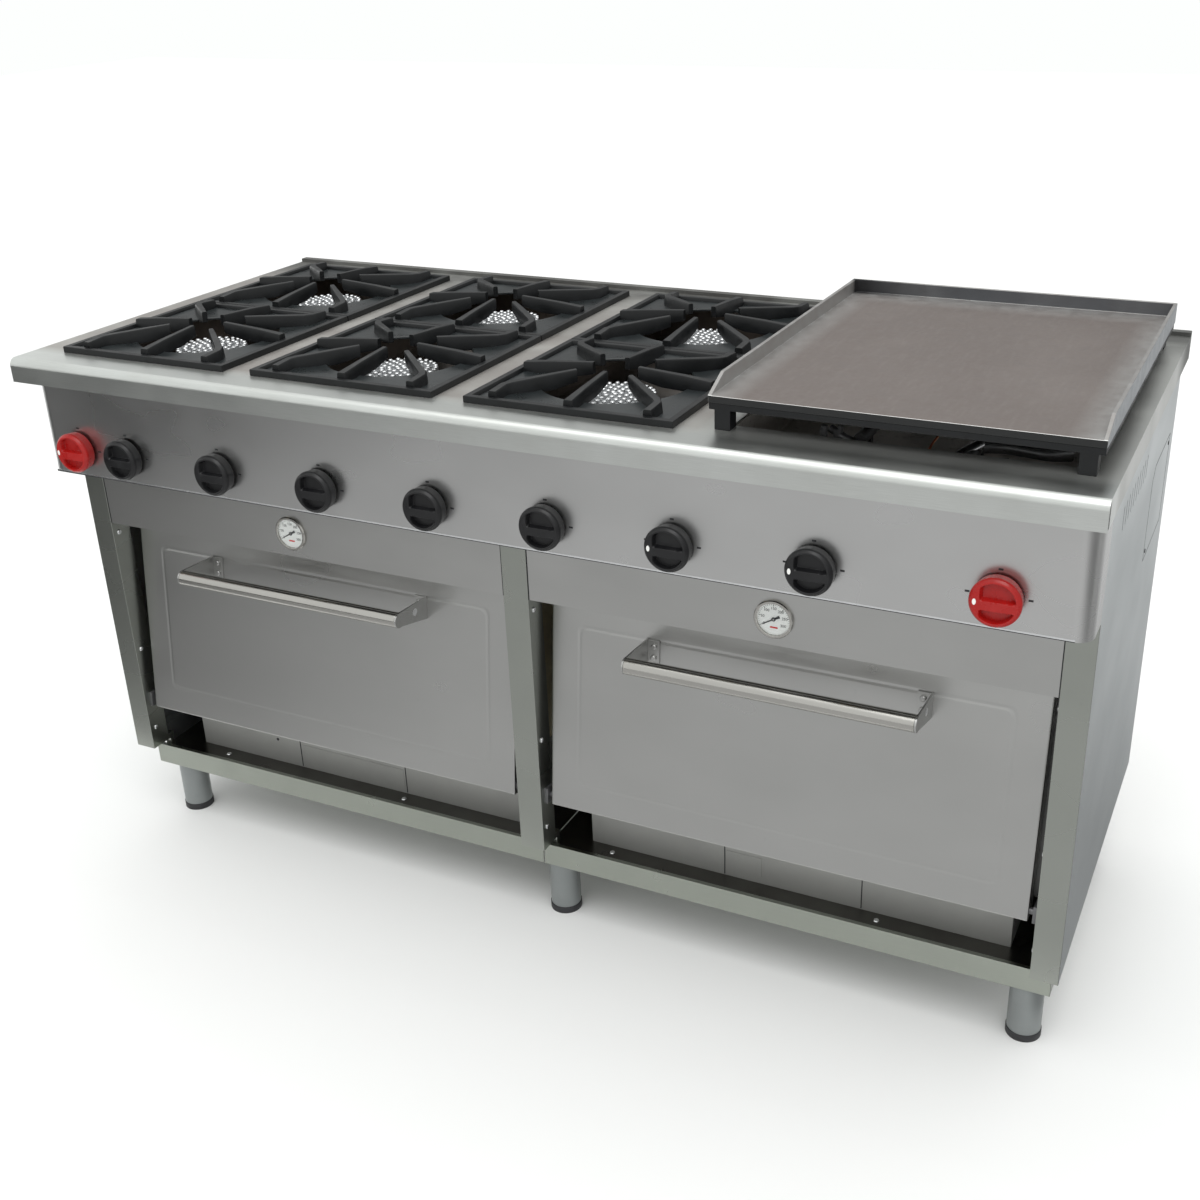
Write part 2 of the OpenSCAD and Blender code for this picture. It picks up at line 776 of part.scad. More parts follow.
// Supply pipe from the manifold's right end to the back of the range
module gas_inlet() {
    nipple_l = 24;
    hex_l = 12;
    hex_r = 15;
    nipple_y = back_y - 1 - nipple_l;
    color(steel_dark) difference() {
        union() {
            rod_y(inlet_x, manifold_y, nipple_y, knob_z, inlet_r - 0.8);
            translate([inlet_x, nipple_y - hex_l, knob_z])
                rotate([-90, 0, 0]) cylinder(h = hex_l, r = hex_r, $fn = 6);
            rod_y(inlet_x, nipple_y, nipple_y + nipple_l, knob_z, inlet_r);
        }
        rod_x(inlet_x - 30, inlet_x + 30, manifold_y, knob_z, manifold_r + 3);
        rod_y(inlet_x, nipple_y, back_y, knob_z, inlet_r - 3);
    }
}

// Knob: drum with two D-shaped finger pockets that leave a ridge, on its spindle
module knob(x, paint) {
    r = knob_d / 2;
    ridge = 13;
    pocket = 14;
    back = panel_y - knob_gap;
    color(paint) {
        difference() {
            rod_y(x, back - knob_h, back, knob_z, r);
            for (s = [-1, 1]) translate([x, back - knob_h - 1, knob_z]) rotate([-90, 0, 0])
                intersection() {
                    cylinder(h = pocket + 1, r = r - 5);
                    translate([-r, s < 0 ? -r : ridge / 2, 0]) cube([2 * r, r - ridge / 2, pocket + 1]);
                }
        }
        rod_y(x, back, valve_front_y + 14, knob_z, spindle_r);
    }
}

// ---- Thermometers ----

module thermometer_cases() {
    color(chrome) for (s = [-1, 1]) difference() {
        union() {
            rod_y(s * bay_x, seam_y - gauge_lip, seam_y, gauge_z, gauge_r);
            rod_y(s * bay_x, seam_y, seam_y + gauge_body_l, gauge_z, gauge_body_r - 0.2);
        }
        difference() {
            rod_y(s * bay_x, seam_y - gauge_lip - 1, seam_y - 1, gauge_z, gauge_r - 3);
            rod_y(s * bay_x, needle_y - 0.2, seam_y + 2, gauge_z, 1);
        }
    }
}

module thermometer_glasses() {
    color(glass) for (s = [-1, 1])
        rod_y(s * bay_x, seam_y - gauge_lip + 0.3, seam_y - gauge_lip + 1.3, gauge_z, gauge_r - 3);
}

// Pointer with a thin tip and a broad tail, turning on the case's centre post
module needle(side) {
    t = 0.8;
    color(black) translate([side * bay_x, needle_y, gauge_z]) rotate([-90, 0, 0])
        rotate([0, 0, 150]) difference() {
            union() {
                cylinder(h = t, r = 3);
                linear_extrude(height = t)
                    polygon([[0, -1], [20, -0.4], [20, 0.4], [0, 1], [-10, 2], [-10, -2]]);
            }
            translate([0, 0, -1]) cylinder(h = 3, r = 1 + running_gap);
        }
}

// ---- Doors ----

// Folded outer skin: face with returns on all four edges
module door_skin(side) {
    w = door_w / 2;
    color(steel) on_door(side) difference() {
        block([-w, 0, 0], [w, door_t, door_h]);
        block([-w + sheet, sheet, sheet], [w - sheet, door_t + 1, door_h - sheet]);
    }
}

// Inner panel that closes the skin and holds the door's insulation
module door_liner(side) {
    w = door_w / 2 - sheet - 0.2;
    color(steel_dark) on_door(side)
        block([-w, sheet + 0.2, sheet + 0.2], [w, door_t, door_h - sheet - 0.2]);
}

// Bar between two flat plates that are bolted to the door
module handle(side) {
    x = handle_l / 2;
    plate_top = bar_u + 17;
    plate_bottom = bar_u - 21;
    color(chrome) on_door(side) {
        rod_x(-x, x, -bar_v, bar_u, handle_d / 2);
        for (s = [-1, 1])
            translate([s < 0 ? -x - bracket_plate_t : x, 0, 0])
                rotate([90, 0, 90]) linear_extrude(height = bracket_plate_t) union() {
                    polygon([[0, plate_top], [0, plate_bottom],
                             [-bar_v + 2, bar_u - handle_d / 2],
                             [-bar_v - 4, bar_u + handle_d / 2 - 1]]);
                    translate([-bar_v, bar_u]) circle(d = handle_d);
                }
        for (s = [-1, 1])
            block([s < 0 ? -x : x - 16, -bracket_plate_t, plate_bottom],
                  [s < 0 ? -x + 16 : x, 0, plate_top]);
        for (s = [-1, 1])
            rod_y(s * (x - 9), -bracket_plate_t - 4, -bracket_plate_t, bar_u - 2, 5);
    }
}

// Studs on the door's lower corners that turn in the hinge brackets
module hinge_pins(side) {
    w = door_w / 2;
    color(steel_light) on_door(side) for (s = [-1, 1])
        rod_x(s < 0 ? -w - pin_l : w, s < 0 ? -w : w + pin_l, -pivot_v, pivot_u, pin_r);
}

// Plates on the posts' returns, bored for the door's studs
module hinge_brackets() {
    half = bay_w / 2;
    color(steel_dark) for (side = [-1, 1], s = [-1, 1]) on_door(side) difference() {
        block([s < 0 ? -half : half - bracket_t, -pivot_v - 13, pivot_u - 12],
              [s < 0 ? -half + bracket_t : half, -pivot_v + 13, pivot_u + 14]);
        rod_x(-half - 1, half + 1, -pivot_v, pivot_u, pin_r + running_gap);
    }
}

// ---- Fasteners ----

// Pan-head screws in the posts' returns and in the base trays
module screws() {
    head_r = 4.5;
    head_h = 2.5;
    tray_screw_x = [-690, -300, 110, 560];
    color(chrome) {
        for (side = [-1, 1], s = [-1, 1], z = [590, 362, 200])
            rod_x(side * bay_x + s * bay_w / 2 - (s < 0 ? 0 : head_h),
                  side * bay_x + s * bay_w / 2 + (s < 0 ? head_h : 0),
                  post_y + 14, z, head_r);
        for (x = tray_screw_x) translate([x, tray_y + 35, tray_floor_z]) cylinder(h = head_h, r = head_r);
    }
}

countertop();
control_panel();
side_panel(-1);  // left_side_panel
side_panel(1);  // right_side_panel
back_panel();
post(-body_x, -body_x + post_w, false, true);  // left_post
post(-centre_post_w / 2, centre_post_w / 2, true, true);  // centre_post
post(body_x - post_w, body_x, true, false);  // right_post
fascia(-1);  // left_fascia
fascia(1);  // right_fascia
base_tray(-tray_x, -1);  // left_base_tray
base_tray(1, tray_x);  // right_base_tray
legs();
foot_caps();
oven_liner(-1);  // left_oven_liner
oven_liner(1);  // right_oven_liner
oven_insulation();
oven_racks();
oven_sole_plates();
oven_burners();
oven_bases();
spill_trays();
burner_bodies();
burner_heads();
griddle_burner();
gas_manifold();
gas_valves();
gas_pipes();
gas_inlet();
thermometer_cases();
thermometer_glasses();
hinge_brackets();
screws();
door_skin(-1);  // left_door_skin
door_liner(-1);  // left_door_liner
handle(-1);  // left_handle
hinge_pins(-1);  // left_hinge_pins
door_skin(1);  // right_door_skin
door_liner(1);  // right_door_liner
handle(1);  // right_handle
hinge_pins(1);  // right_hinge_pins
knob(oven_knob_x[0], red);  // left_oven_knob
knob(oven_knob_x[1], red);  // right_oven_knob
knob(burner_knob_x[0], black);  // burner_knob_1
knob(burner_knob_x[1], black);  // burner_knob_2
knob(burner_knob_x[2], black);  // burner_knob_3
knob(burner_knob_x[3], black);  // burner_knob_4
knob(burner_knob_x[4], black);  // burner_knob_5
knob(burner_knob_x[5], black);  // burner_knob_6
knob(burner_knob_x[6], black);  // griddle_knob
needle(-1);  // left_needle
needle(1);  // right_needle
grate(0, 0);  // grate_1_front
grate(0, 1);  // grate_1_rear
grate(1, 0);  // grate_2_front
grate(1, 1);  // grate_2_rear
grate(2, 0);  // grate_3_front
grate(2, 1);  // grate_3_rear
griddle_plate();
griddle_stand();
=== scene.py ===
"""Commercial gas range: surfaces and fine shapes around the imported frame. Metres, the frame's axes."""
import json
import math

import bmesh
import bpy
from mathutils import Matrix, Vector


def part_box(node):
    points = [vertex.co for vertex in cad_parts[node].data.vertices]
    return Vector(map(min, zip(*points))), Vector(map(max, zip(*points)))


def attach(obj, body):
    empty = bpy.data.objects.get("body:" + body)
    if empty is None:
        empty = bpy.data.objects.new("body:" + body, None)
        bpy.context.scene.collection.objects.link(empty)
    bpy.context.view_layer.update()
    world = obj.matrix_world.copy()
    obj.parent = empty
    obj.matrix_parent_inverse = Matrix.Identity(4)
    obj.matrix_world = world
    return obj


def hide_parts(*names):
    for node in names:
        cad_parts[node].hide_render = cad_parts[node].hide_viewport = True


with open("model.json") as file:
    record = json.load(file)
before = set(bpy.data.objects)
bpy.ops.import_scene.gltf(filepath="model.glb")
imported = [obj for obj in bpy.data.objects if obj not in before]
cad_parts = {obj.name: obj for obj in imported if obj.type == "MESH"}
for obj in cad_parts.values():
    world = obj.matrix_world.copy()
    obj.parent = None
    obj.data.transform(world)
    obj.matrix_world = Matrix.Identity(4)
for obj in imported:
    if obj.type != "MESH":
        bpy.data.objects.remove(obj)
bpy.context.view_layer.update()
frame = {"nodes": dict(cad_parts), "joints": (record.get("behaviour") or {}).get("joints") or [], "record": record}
NODES = frame["nodes"]
JOINTS = {joint["name"]: joint for joint in frame["joints"]}
BODY = {node: body for body, nodes in frame["record"]["behaviour"]["bodies"].items() for node in nodes}
SLOT = {part["node"]: part["material_slot"] for part in frame["record"]["subparts"]}
SIDES = ("left", "right")
GRATES = [f"grate_{column}_{row}" for column in (1, 2, 3) for row in ("front", "rear")]
KNOBS = [name for name in NODES if name.endswith("_knob") or "_knob_" in name]
SMOOTH_ANGLE = math.radians(35)
BEVEL_ANGLE = math.radians(40)
POINT = 1e-5    # radius of a ring that stands for a point
ALONG_X, ALONG_Z = (0.02, 1, 1), (1, 1, 0.02)    # stretches of brushed grain


# ---- Mesh building ----

def middle(node):
    """The centre of a node's box."""
    low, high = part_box(node)
    return (low + high) / 2


def whole_turn(count, offset=0.0):
    """The angles of a whole turn in equal steps."""
    return [2 * math.pi * (i + offset) / count for i in range(count)]


def arc(centre, radius, start, end, steps):
    """Points of an arc in a plane, angles in degrees."""
    angles = [math.radians(start + (end - start) * i / steps) for i in range(steps + 1)]
    return [(centre[0] + radius * math.cos(a), centre[1] + radius * math.sin(a)) for a in angles]


def smooth_path(points, steps=8):
    """A Catmull-Rom line through the points."""
    points = [Vector(p) for p in points]
    ends = [points[0] * 2 - points[1]] + points + [points[-1] * 2 - points[-2]]
    line = []
    for i in range(len(points) - 1):
        a, b, c, d = ends[i:i + 4]
        for k in range(steps):
            t = k / steps
            line.append(0.5 * (2 * b + (c - a) * t + (2 * a - 5 * b + 4 * c - d) * t * t
                               + (3 * b - a - 3 * c + d) * t ** 3))
    return line + [points[-1]]


class Shape:
    """A mesh built shell by shell. paint is the material index that new faces get."""

    def __init__(self, matrix=None):
        self.bm = bmesh.new()
        self.paint = 0
        self.matrix = matrix or Matrix.Identity(4)

    def shell(self, points, faces):
        verts = [self.bm.verts.new(self.matrix @ Vector(p)) for p in points]
        for indices in faces:
            self.bm.faces.new([verts[i] for i in indices]).material_index = self.paint

    def block(self, low, high):
        (x1, y1, z1), (x2, y2, z2) = low, high
        points = [(x, y, z) for x in (x1, x2) for y in (y1, y2) for z in (z1, z2)]
        across_x = [(0, 1, 3, 2), (4, 6, 7, 5)]
        across_y = [(0, 4, 5, 1), (2, 3, 7, 6)]
        across_z = [(0, 2, 6, 4), (1, 5, 7, 3)]
        self.shell(points, across_x + across_y + across_z)

    def loft(self, rings, closed=False, start_cap=True):
        """Joins rings of equal length, the last to the first if closed; otherwise the ends are capped."""
        count = len(rings[0])
        points = [p for ring in rings for p in ring]
        spans = len(rings) if closed else len(rings) - 1
        faces = []
        for k in range(spans):
            a, b = k * count, (k + 1) % len(rings) * count
            for i in range(count):
                j = (i + 1) % count
                faces.append((a + i, a + j, b + j, b + i))
        if start_cap and not closed:
            faces.append(tuple(reversed(range(count))))
        if not closed:
            faces.append(tuple(len(points) - count + i for i in range(count)))
        self.shell(points, faces)

    def prism(self, outline, axis, low, high):
        """outline is in the two other axes, in their order."""
        def place(pair, depth):
            values = list(pair)
            values.insert(axis, depth)
            return values
        self.loft([[place(p, low) for p in outline], [place(p, high) for p in outline]])

    def lathe(self, profile, centre, axis, sides):
        """profile holds (radius, height along axis) pairs from one end to the other."""
        centre = Vector(centre)
        axis = Vector(axis).normalized()
        side = axis.orthogonal().normalized()
        other = axis.cross(side)
        spokes = [side * math.cos(t) + other * math.sin(t) for t in whole_turn(sides)]
        self.loft([[centre + axis * height + spoke * max(radius, POINT) for spoke in spokes]
                   for radius, height in profile])

    def rod(self, start, end, radius):
        start, end = Vector(start), Vector(end)
        self.lathe([(radius, 0), (radius, (end - start).length)], start, end - start, 24)

    def tube(self, path, radius, sides=16, wall=0.0):
        """A bent tube along the points of path; a wall leaves its ends open as a pipe."""
        path = [Vector(p) for p in path]
        normal = (path[1] - path[0]).orthogonal().normalized()
        outer, inner = [], []
        for i, point in enumerate(path):
            ahead = path[min(i + 1, len(path) - 1)] - path[max(i - 1, 0)]
            ahead.normalize()
            normal = (normal - ahead * normal.dot(ahead)).normalized()
            other = ahead.cross(normal)
            spokes = [normal * math.cos(t) + other * math.sin(t) for t in whole_turn(sides)]
            outer.append([point + spoke * radius for spoke in spokes])
            inner.append([point + spoke * (radius - wall) for spoke in spokes])
        if wall:
            self.loft(outer + inner[::-1], closed=True)
        else:
            self.loft(outer)

    def object(self, name, materials, bevel=0.0):
        bmesh.ops.remove_doubles(self.bm, verts=self.bm.verts[:], dist=2e-6)
        bmesh.ops.recalc_face_normals(self.bm, faces=self.bm.faces[:])
        mesh = bpy.data.meshes.new(name)
        self.bm.to_mesh(mesh)
        self.bm.free()
        for material in materials:
            mesh.materials.append(material)
        mesh.polygons.foreach_set("use_smooth", [True] * len(mesh.polygons))
        mesh.set_sharp_from_angle(angle=SMOOTH_ANGLE)
        made = bpy.data.objects.new(name, mesh)
        bpy.context.scene.collection.objects.link(made)
        if bevel:
            add_bevel(made, bevel)
        return made


def add_bevel(made, width):
    bevel = made.modifiers.new("edges", "BEVEL")
    bevel.width = width
    bevel.segments = 2
    bevel.limit_method = "ANGLE"
    bevel.angle_limit = BEVEL_ANGLE
    bevel.harden_normals = True


def soften(node, width):
    """Rounds a CAD node's edges; its split vertices are joined first."""
    weld = NODES[node].modifiers.new("join", "WELD")
    weld.merge_threshold = 2e-5
    add_bevel(NODES[node], width)


# ---- Materials ----

class Paint:
    """One material. Patterns follow the piece's own coordinates, in metres."""

    def __init__(self, name, colour, metallic, roughness, **sockets):
        self.material = bpy.data.materials.new(name)
        self.material.use_nodes = True
        self.tree = self.material.node_tree
        self.shader = self.tree.nodes["Principled BSDF"]
        self.colour = (*colour, 1)
        self.relief = None
        self.shader.inputs["Base Color"].default_value = self.colour
        self.shader.inputs["Metallic"].default_value = metallic
        self.shader.inputs["Roughness"].default_value = roughness
        for socket, value in sockets.items():
            self.shader.inputs[socket.replace("_", " ")].default_value = value
        self.place = self.tree.nodes.new("ShaderNodeTexCoord").outputs["Object"]

    def node(self, kind, **settings):
        made = self.tree.nodes.new("ShaderNode" + kind)
        for key, value in settings.items():
            setattr(made, key, value)
        return made

    def put(self, socket, value):
        if isinstance(value, bpy.types.NodeSocket):
            self.tree.links.new(value, socket)
        else:
            socket.default_value = value

    def noise(self, scale, detail, stretch=(1, 1, 1)):
        """Noise from 0 to 1; a small stretch draws it out along that axis."""
        mapping = self.node("Mapping")
        self.put(mapping.inputs["Vector"], self.place)
        mapping.inputs["Scale"].default_value = stretch
        texture = self.node("TexNoise")
        self.put(texture.inputs["Vector"], mapping.outputs[0])
        texture.inputs["Scale"].default_value = scale
        texture.inputs["Detail"].default_value = detail
        return texture.outputs["Fac"]

    def span(self, value, low, high, to_low, to_high):
        """Stretches a range of values to another range."""
        made = self.node("MapRange")
        for socket, number in zip(made.inputs, (value, low, high, to_low, to_high)):
            self.put(socket, number)
        return made.outputs[0]

    def mask(self, value, low, high, most=1.0):
        """From 0 at low to most at high; low may be the larger number."""
        return self.span(value, low, high, 0.0, most)

    def calculate(self, operation, a, b=0.0):
        made = self.node("Math", operation=operation)
        self.put(made.inputs[0], a)
        self.put(made.inputs[1], b)
        return made.outputs[0]

    def sum(self, a, b):
        return self.calculate("ADD", a, b)

    def both(self, a, b):
        return self.calculate("MULTIPLY", a, b)

    def either(self, a, b):
        return self.calculate("MAXIMUM", a, b)

    def axis(self, name):
        made = self.node("SeparateXYZ")
        self.put(made.inputs[0], self.place)
        return made.outputs[name]

    def facing(self, name):
        """The share of the surface's true direction along an axis."""
        made = self.node("SeparateXYZ")
        self.put(made.inputs[0], self.node("NewGeometry").outputs["Normal"])
        return made.outputs[name]

    def tint(self, amount, colour):
        """Mixes another colour in where amount is high."""
        made = self.node("Mix", data_type="RGBA")
        self.put(made.inputs["Factor"], amount)
        self.put(made.inputs[6], self.colour)
        made.inputs[7].default_value = (*colour, 1)
        self.colour = made.outputs[2]
        self.put(self.shader.inputs["Base Color"], self.colour)

    def metal(self, value):
        self.put(self.shader.inputs["Metallic"], value)

    def rough(self, value):
        self.put(self.shader.inputs["Roughness"], value)

    def bump(self, height, depth, strength=1.0):
        made = self.node("Bump")
        made.inputs["Strength"].default_value = strength
        made.inputs["Distance"].default_value = depth
        self.put(made.inputs["Height"], height)
        if self.relief is not None:
            self.put(made.inputs["Normal"], self.relief)
        self.relief = made.outputs[0]
        self.put(self.shader.inputs["Normal"], self.relief)


def shade(colour, factor):
    """A lighter or darker version of a colour."""
    return [min(1, c * factor) for c in colour]


def brushed(name, colour, roughness, grain=ALONG_X, wear=0.5):
    """Brushed steel: grain drawn out along one axis, smears and a few dull patches."""
    paint = Paint(name, colour, 1.0, roughness, Anisotropic=0.35)
    lines = paint.noise(1400, 2, grain)
    smear = paint.noise(5, 2, (1, 1, 1.6))
    spots = paint.noise(60, 5)
    paint.tint(paint.mask(smear, 0.35, 0.75, 0.35), shade(colour, 0.8))
    paint.tint(paint.mask(lines, 0.3, 0.7, 0.06), shade(colour, 0.82))
    paint.tint(paint.mask(spots, 0.70, 0.80, wear), shade(colour, 0.78))
    paint.rough(paint.span(smear, 0.3, 0.8, roughness - 0.03, roughness + 0.10))
    paint.bump(paint.noise(3.5, 1), 0.0010, 0.2)
    return paint.material


def tray_steel(floor):
    """The base trays: dull steel whose floor, at this height, is darker."""
    paint = Paint("tray_steel", (0.35, 0.37, 0.33), 1.0, 0.34)
    cloud = paint.noise(14, 4)
    lines = paint.noise(1200, 2, ALONG_X)
    paint.tint(paint.mask(lines, 0.3, 0.7, 0.2), (0.28, 0.30, 0.27))
    level = paint.mask(paint.facing("Z"), 0.8, 0.95)
    below_lip = paint.mask(paint.axis("Z"), floor + 0.007, floor + 0.003)
    # Flat faces at the floor's height are darker
    darker_floor = paint.both(level, below_lip)
    paint.tint(paint.both(darker_floor, paint.span(cloud, 0.3, 0.8, 1.0, 0.8)), (0.10, 0.095, 0.088))
    paint.rough(paint.span(cloud, 0.3, 0.7, 0.26, 0.40))
    paint.bump(lines, 0.00001, 0.3)
    return paint.material


def spill_tray_steel(griddle_left):
    """Pans browned by heat under the burners, paler and less metallic under the griddle: painted light in the
    shaded well there.
    """
    paint = Paint("spill_tray_steel", (0.24, 0.215, 0.195), 1.0, 0.34)
    cloud = paint.noise(12, 4)
    stains = paint.noise(70, 5)
    # Painted light: under the griddle the pan is paler and less metallic, to brighten its shaded well
    griddle = paint.mask(paint.axis("X"), griddle_left - 0.03, griddle_left - 0.01)
    paint.tint(paint.mask(cloud, 0.35, 0.7, 0.6), (0.145, 0.125, 0.11))
    paint.tint(paint.both(griddle, paint.span(cloud, 0.3, 0.8, 1.0, 0.6)), (0.62, 0.59, 0.55))
    paint.tint(paint.mask(stains, 0.62, 0.75, 0.6), (0.09, 0.075, 0.065))
    paint.metal(paint.span(griddle, 0, 1, 1.0, 0.25))
    paint.rough(paint.span(cloud, 0.3, 0.7, 0.30, 0.48))
    paint.bump(stains, 0.0002, 0.4)
    return paint.material


def countertop_steel(grate_front, griddle_left):
    """Satin steel, heat-tinted brown between the burners, dark behind them, clean along the front rim."""
    paint = Paint("countertop_steel", (0.665, 0.685, 0.665), 1.0, 0.27, Anisotropic=0.3)
    lines = paint.noise(1400, 2, ALONG_X)
    smear = paint.noise(9, 4, (1, 1.5, 1))
    behind = paint.mask(paint.axis("Y"), grate_front - 0.012, grate_front + 0.02)
    burners = paint.span(paint.axis("X"), griddle_left - 0.0155, griddle_left + 0.0045, 1.0, 0.35)
    brown = paint.both(behind, burners)
    rear = paint.mask(paint.axis("Y"), grate_front + 0.55, grate_front + 0.66, 0.85)
    paint.tint(brown, (0.295, 0.273, 0.257))
    paint.tint(rear, (0.05, 0.05, 0.048))
    paint.metal(paint.span(brown, 0, 1, 1.0, 0.6))
    paint.tint(paint.mask(smear, 0.4, 0.75, 0.45), (0.50, 0.51, 0.485))
    paint.tint(paint.mask(lines, 0.3, 0.7, 0.25), (0.42, 0.43, 0.41))
    dull = paint.sum(paint.mask(brown, 0, 1, 0.14), paint.mask(rear, 0, 1, 0.2))
    paint.rough(paint.sum(paint.span(smear, 0.3, 0.8, 0.28, 0.40), dull))
    paint.bump(lines, 0.00001, 0.4)
    paint.bump(paint.noise(4, 1), 0.001, 0.25)
    return paint.material


def griddle_steel(low, high):
    """Oiled plate: brown and mottled, paler near its guards, scorched at one back corner, black in front."""
    centre, half, back = (low.x + high.x) / 2, (high.x - low.x) / 2, high.y
    paint = Paint("griddle_steel", (0.185, 0.157, 0.146), 0.55, 0.42)
    mottle = paint.noise(55, 6)
    cloud = paint.noise(6, 4)
    streak = paint.noise(260, 2, (1, 0.12, 1))
    paint.tint(paint.mask(mottle, 0.42, 0.7, 0.6), (0.16, 0.135, 0.125))
    paint.tint(paint.mask(cloud, 0.45, 0.8, 0.5), (0.235, 0.205, 0.192))
    paint.tint(paint.mask(streak, 0.5, 0.8, 0.2), (0.30, 0.275, 0.26))

    # Paler along the guards, darker on the back guard, greyer on the right guard's outside
    across = paint.calculate("ABSOLUTE", paint.calculate("SUBTRACT", paint.axis("X"), centre))
    edge = paint.either(paint.mask(across, half - 0.05, half - 0.006, 0.75),
                        paint.mask(paint.axis("Y"), back - 0.07, back - 0.006, 0.8))
    paint.tint(paint.both(edge, paint.span(mottle, 0.3, 0.7, 0.6, 1.0)), (0.38, 0.385, 0.38))
    guard = paint.both(paint.mask(paint.axis("Y"), back - 0.012, back - 0.005),
                       paint.mask(paint.facing("Z"), 0.5, 0.2))
    paint.tint(paint.both(guard, paint.span(cloud, 0.3, 0.7, 1.0, 0.75)), (0.085, 0.09, 0.10))
    outside = paint.both(paint.mask(paint.facing("X"), 0.7, 0.9, 0.8),
                         paint.mask(paint.axis("X"), centre, centre + 0.01))
    paint.tint(outside, (0.26, 0.28, 0.30))
    corner = paint.both(paint.mask(paint.axis("X"), low.x + 0.13, low.x + 0.02),
                        paint.mask(paint.axis("Y"), back - 0.022, back - 0.008))
    paint.tint(paint.both(corner, paint.span(cloud, 0.3, 0.5, 0.7, 1.0)), (0.03, 0.03, 0.032))

    # The front face and the underside are black, and the edge over them carries a painted highlight
    near = paint.mask(paint.axis("Y"), low.y + 0.03, low.y + 0.02)
    front = paint.both(paint.mask(paint.facing("Y"), -0.85, -0.95), near)
    black = paint.either(front, paint.mask(paint.facing("Z"), -0.2, -0.4))
    paint.tint(black, (0.007, 0.0075, 0.008))
    paint.metal(paint.span(black, 0, 1, 0.55, 0.0))
    # Painted highlight: a bright band on the rounded front edge, on faces turned forward and up
    highlight_slope = paint.both(paint.mask(paint.facing("Y"), -0.48, -0.58),
                         paint.mask(paint.facing("Y"), -0.93, -0.8))
    highlight_upward = paint.mask(paint.facing("Z"), 0.2, 0.35)
    paint.tint(paint.both(paint.both(highlight_slope, near), highlight_upward), (0.75, 0.75, 0.74))
    paint.rough(paint.span(mottle, 0.3, 0.7, 0.36, 0.52))
    paint.bump(mottle, 0.0003, 0.4)
    paint.bump(streak, 0.0001, 0.3)
    return paint.material


def cast_iron(name, colour, roughness):
    """Black iron with a sandy skin and paler, drier patches."""
    paint = Paint(name, colour, 0.0, roughness, Specular_IOR_Level=0.32)
    sand = paint.noise(900, 3)
    cloud = paint.noise(25, 4)
    paint.tint(paint.mask(cloud, 0.45, 0.75, 0.6), shade(colour, 1.9))
    paint.tint(paint.mask(sand, 0.66, 0.76, 0.35), shade(colour, 3.2))
    paint.rough(paint.span(cloud, 0.3, 0.7, roughness - 0.1, roughness + 0.12))
    paint.bump(sand, 0.0003, 0.5)
    paint.bump(cloud, 0.0008, 0.3)
    return paint.material


def plastic(name, colour, roughness):
    """Moulded plastic, paler and duller where it is handled."""
    paint = Paint(name, colour, 0.0, roughness, Specular_IOR_Level=0.4)
    grain = paint.noise(1800, 2)
    handled = paint.noise(45, 4)
    paint.tint(paint.mask(handled, 0.5, 0.8, 0.35), [min(1, c * 1.5 + 0.01) for c in colour])
    paint.rough(paint.span(handled, 0.3, 0.7, roughness - 0.06, roughness + 0.12))
    paint.bump(grain, 0.00005, 0.5)
    return paint.material


def plain(name, colour, metallic, roughness, spread=1.25, scale=30, depth=0.0002, **sockets):
    """A worn, slightly uneven surface: spread is how much its patches differ, scale how small they are."""
    paint = Paint(name, colour, metallic, roughness, **sockets)
    cloud = paint.noise(scale, 4)
    grain = paint.noise(scale * 22, 2)
    paint.tint(paint.mask(cloud, 0.4, 0.75, 0.7), shade(colour, spread))
    paint.rough(paint.span(cloud, 0.3, 0.7, roughness - 0.06, roughness + 0.1))
    paint.bump(grain, depth, 0.4)
    return paint.material


def mark(name, colour, roughness, spread):
    """Printed or painted marks and small painted pieces."""
    return plain(name, colour, 0.0, roughness, spread, scale=300, depth=0.00005)


def dial_enamel():
    paint = Paint("dial_enamel", (0.80, 0.80, 0.78), 0.0, 0.35, Coat_Weight=0.3, Coat_Roughness=0.1)
    cloud = paint.noise(200, 3)
    paint.tint(paint.mask(cloud, 0.5, 0.8, 0.3), (0.66, 0.66, 0.64))
    paint.bump(cloud, 0.00002, 0.3)
    return paint.material


def gauge_glass():
    paint = Paint("gauge_glass", (0.97, 0.98, 0.98), 0.0, 0.03, Transmission_Weight=1.0, IOR=1.1)
    paint.rough(paint.span(paint.noise(90, 3), 0.4, 0.8, 0.02, 0.10))
    return paint.material


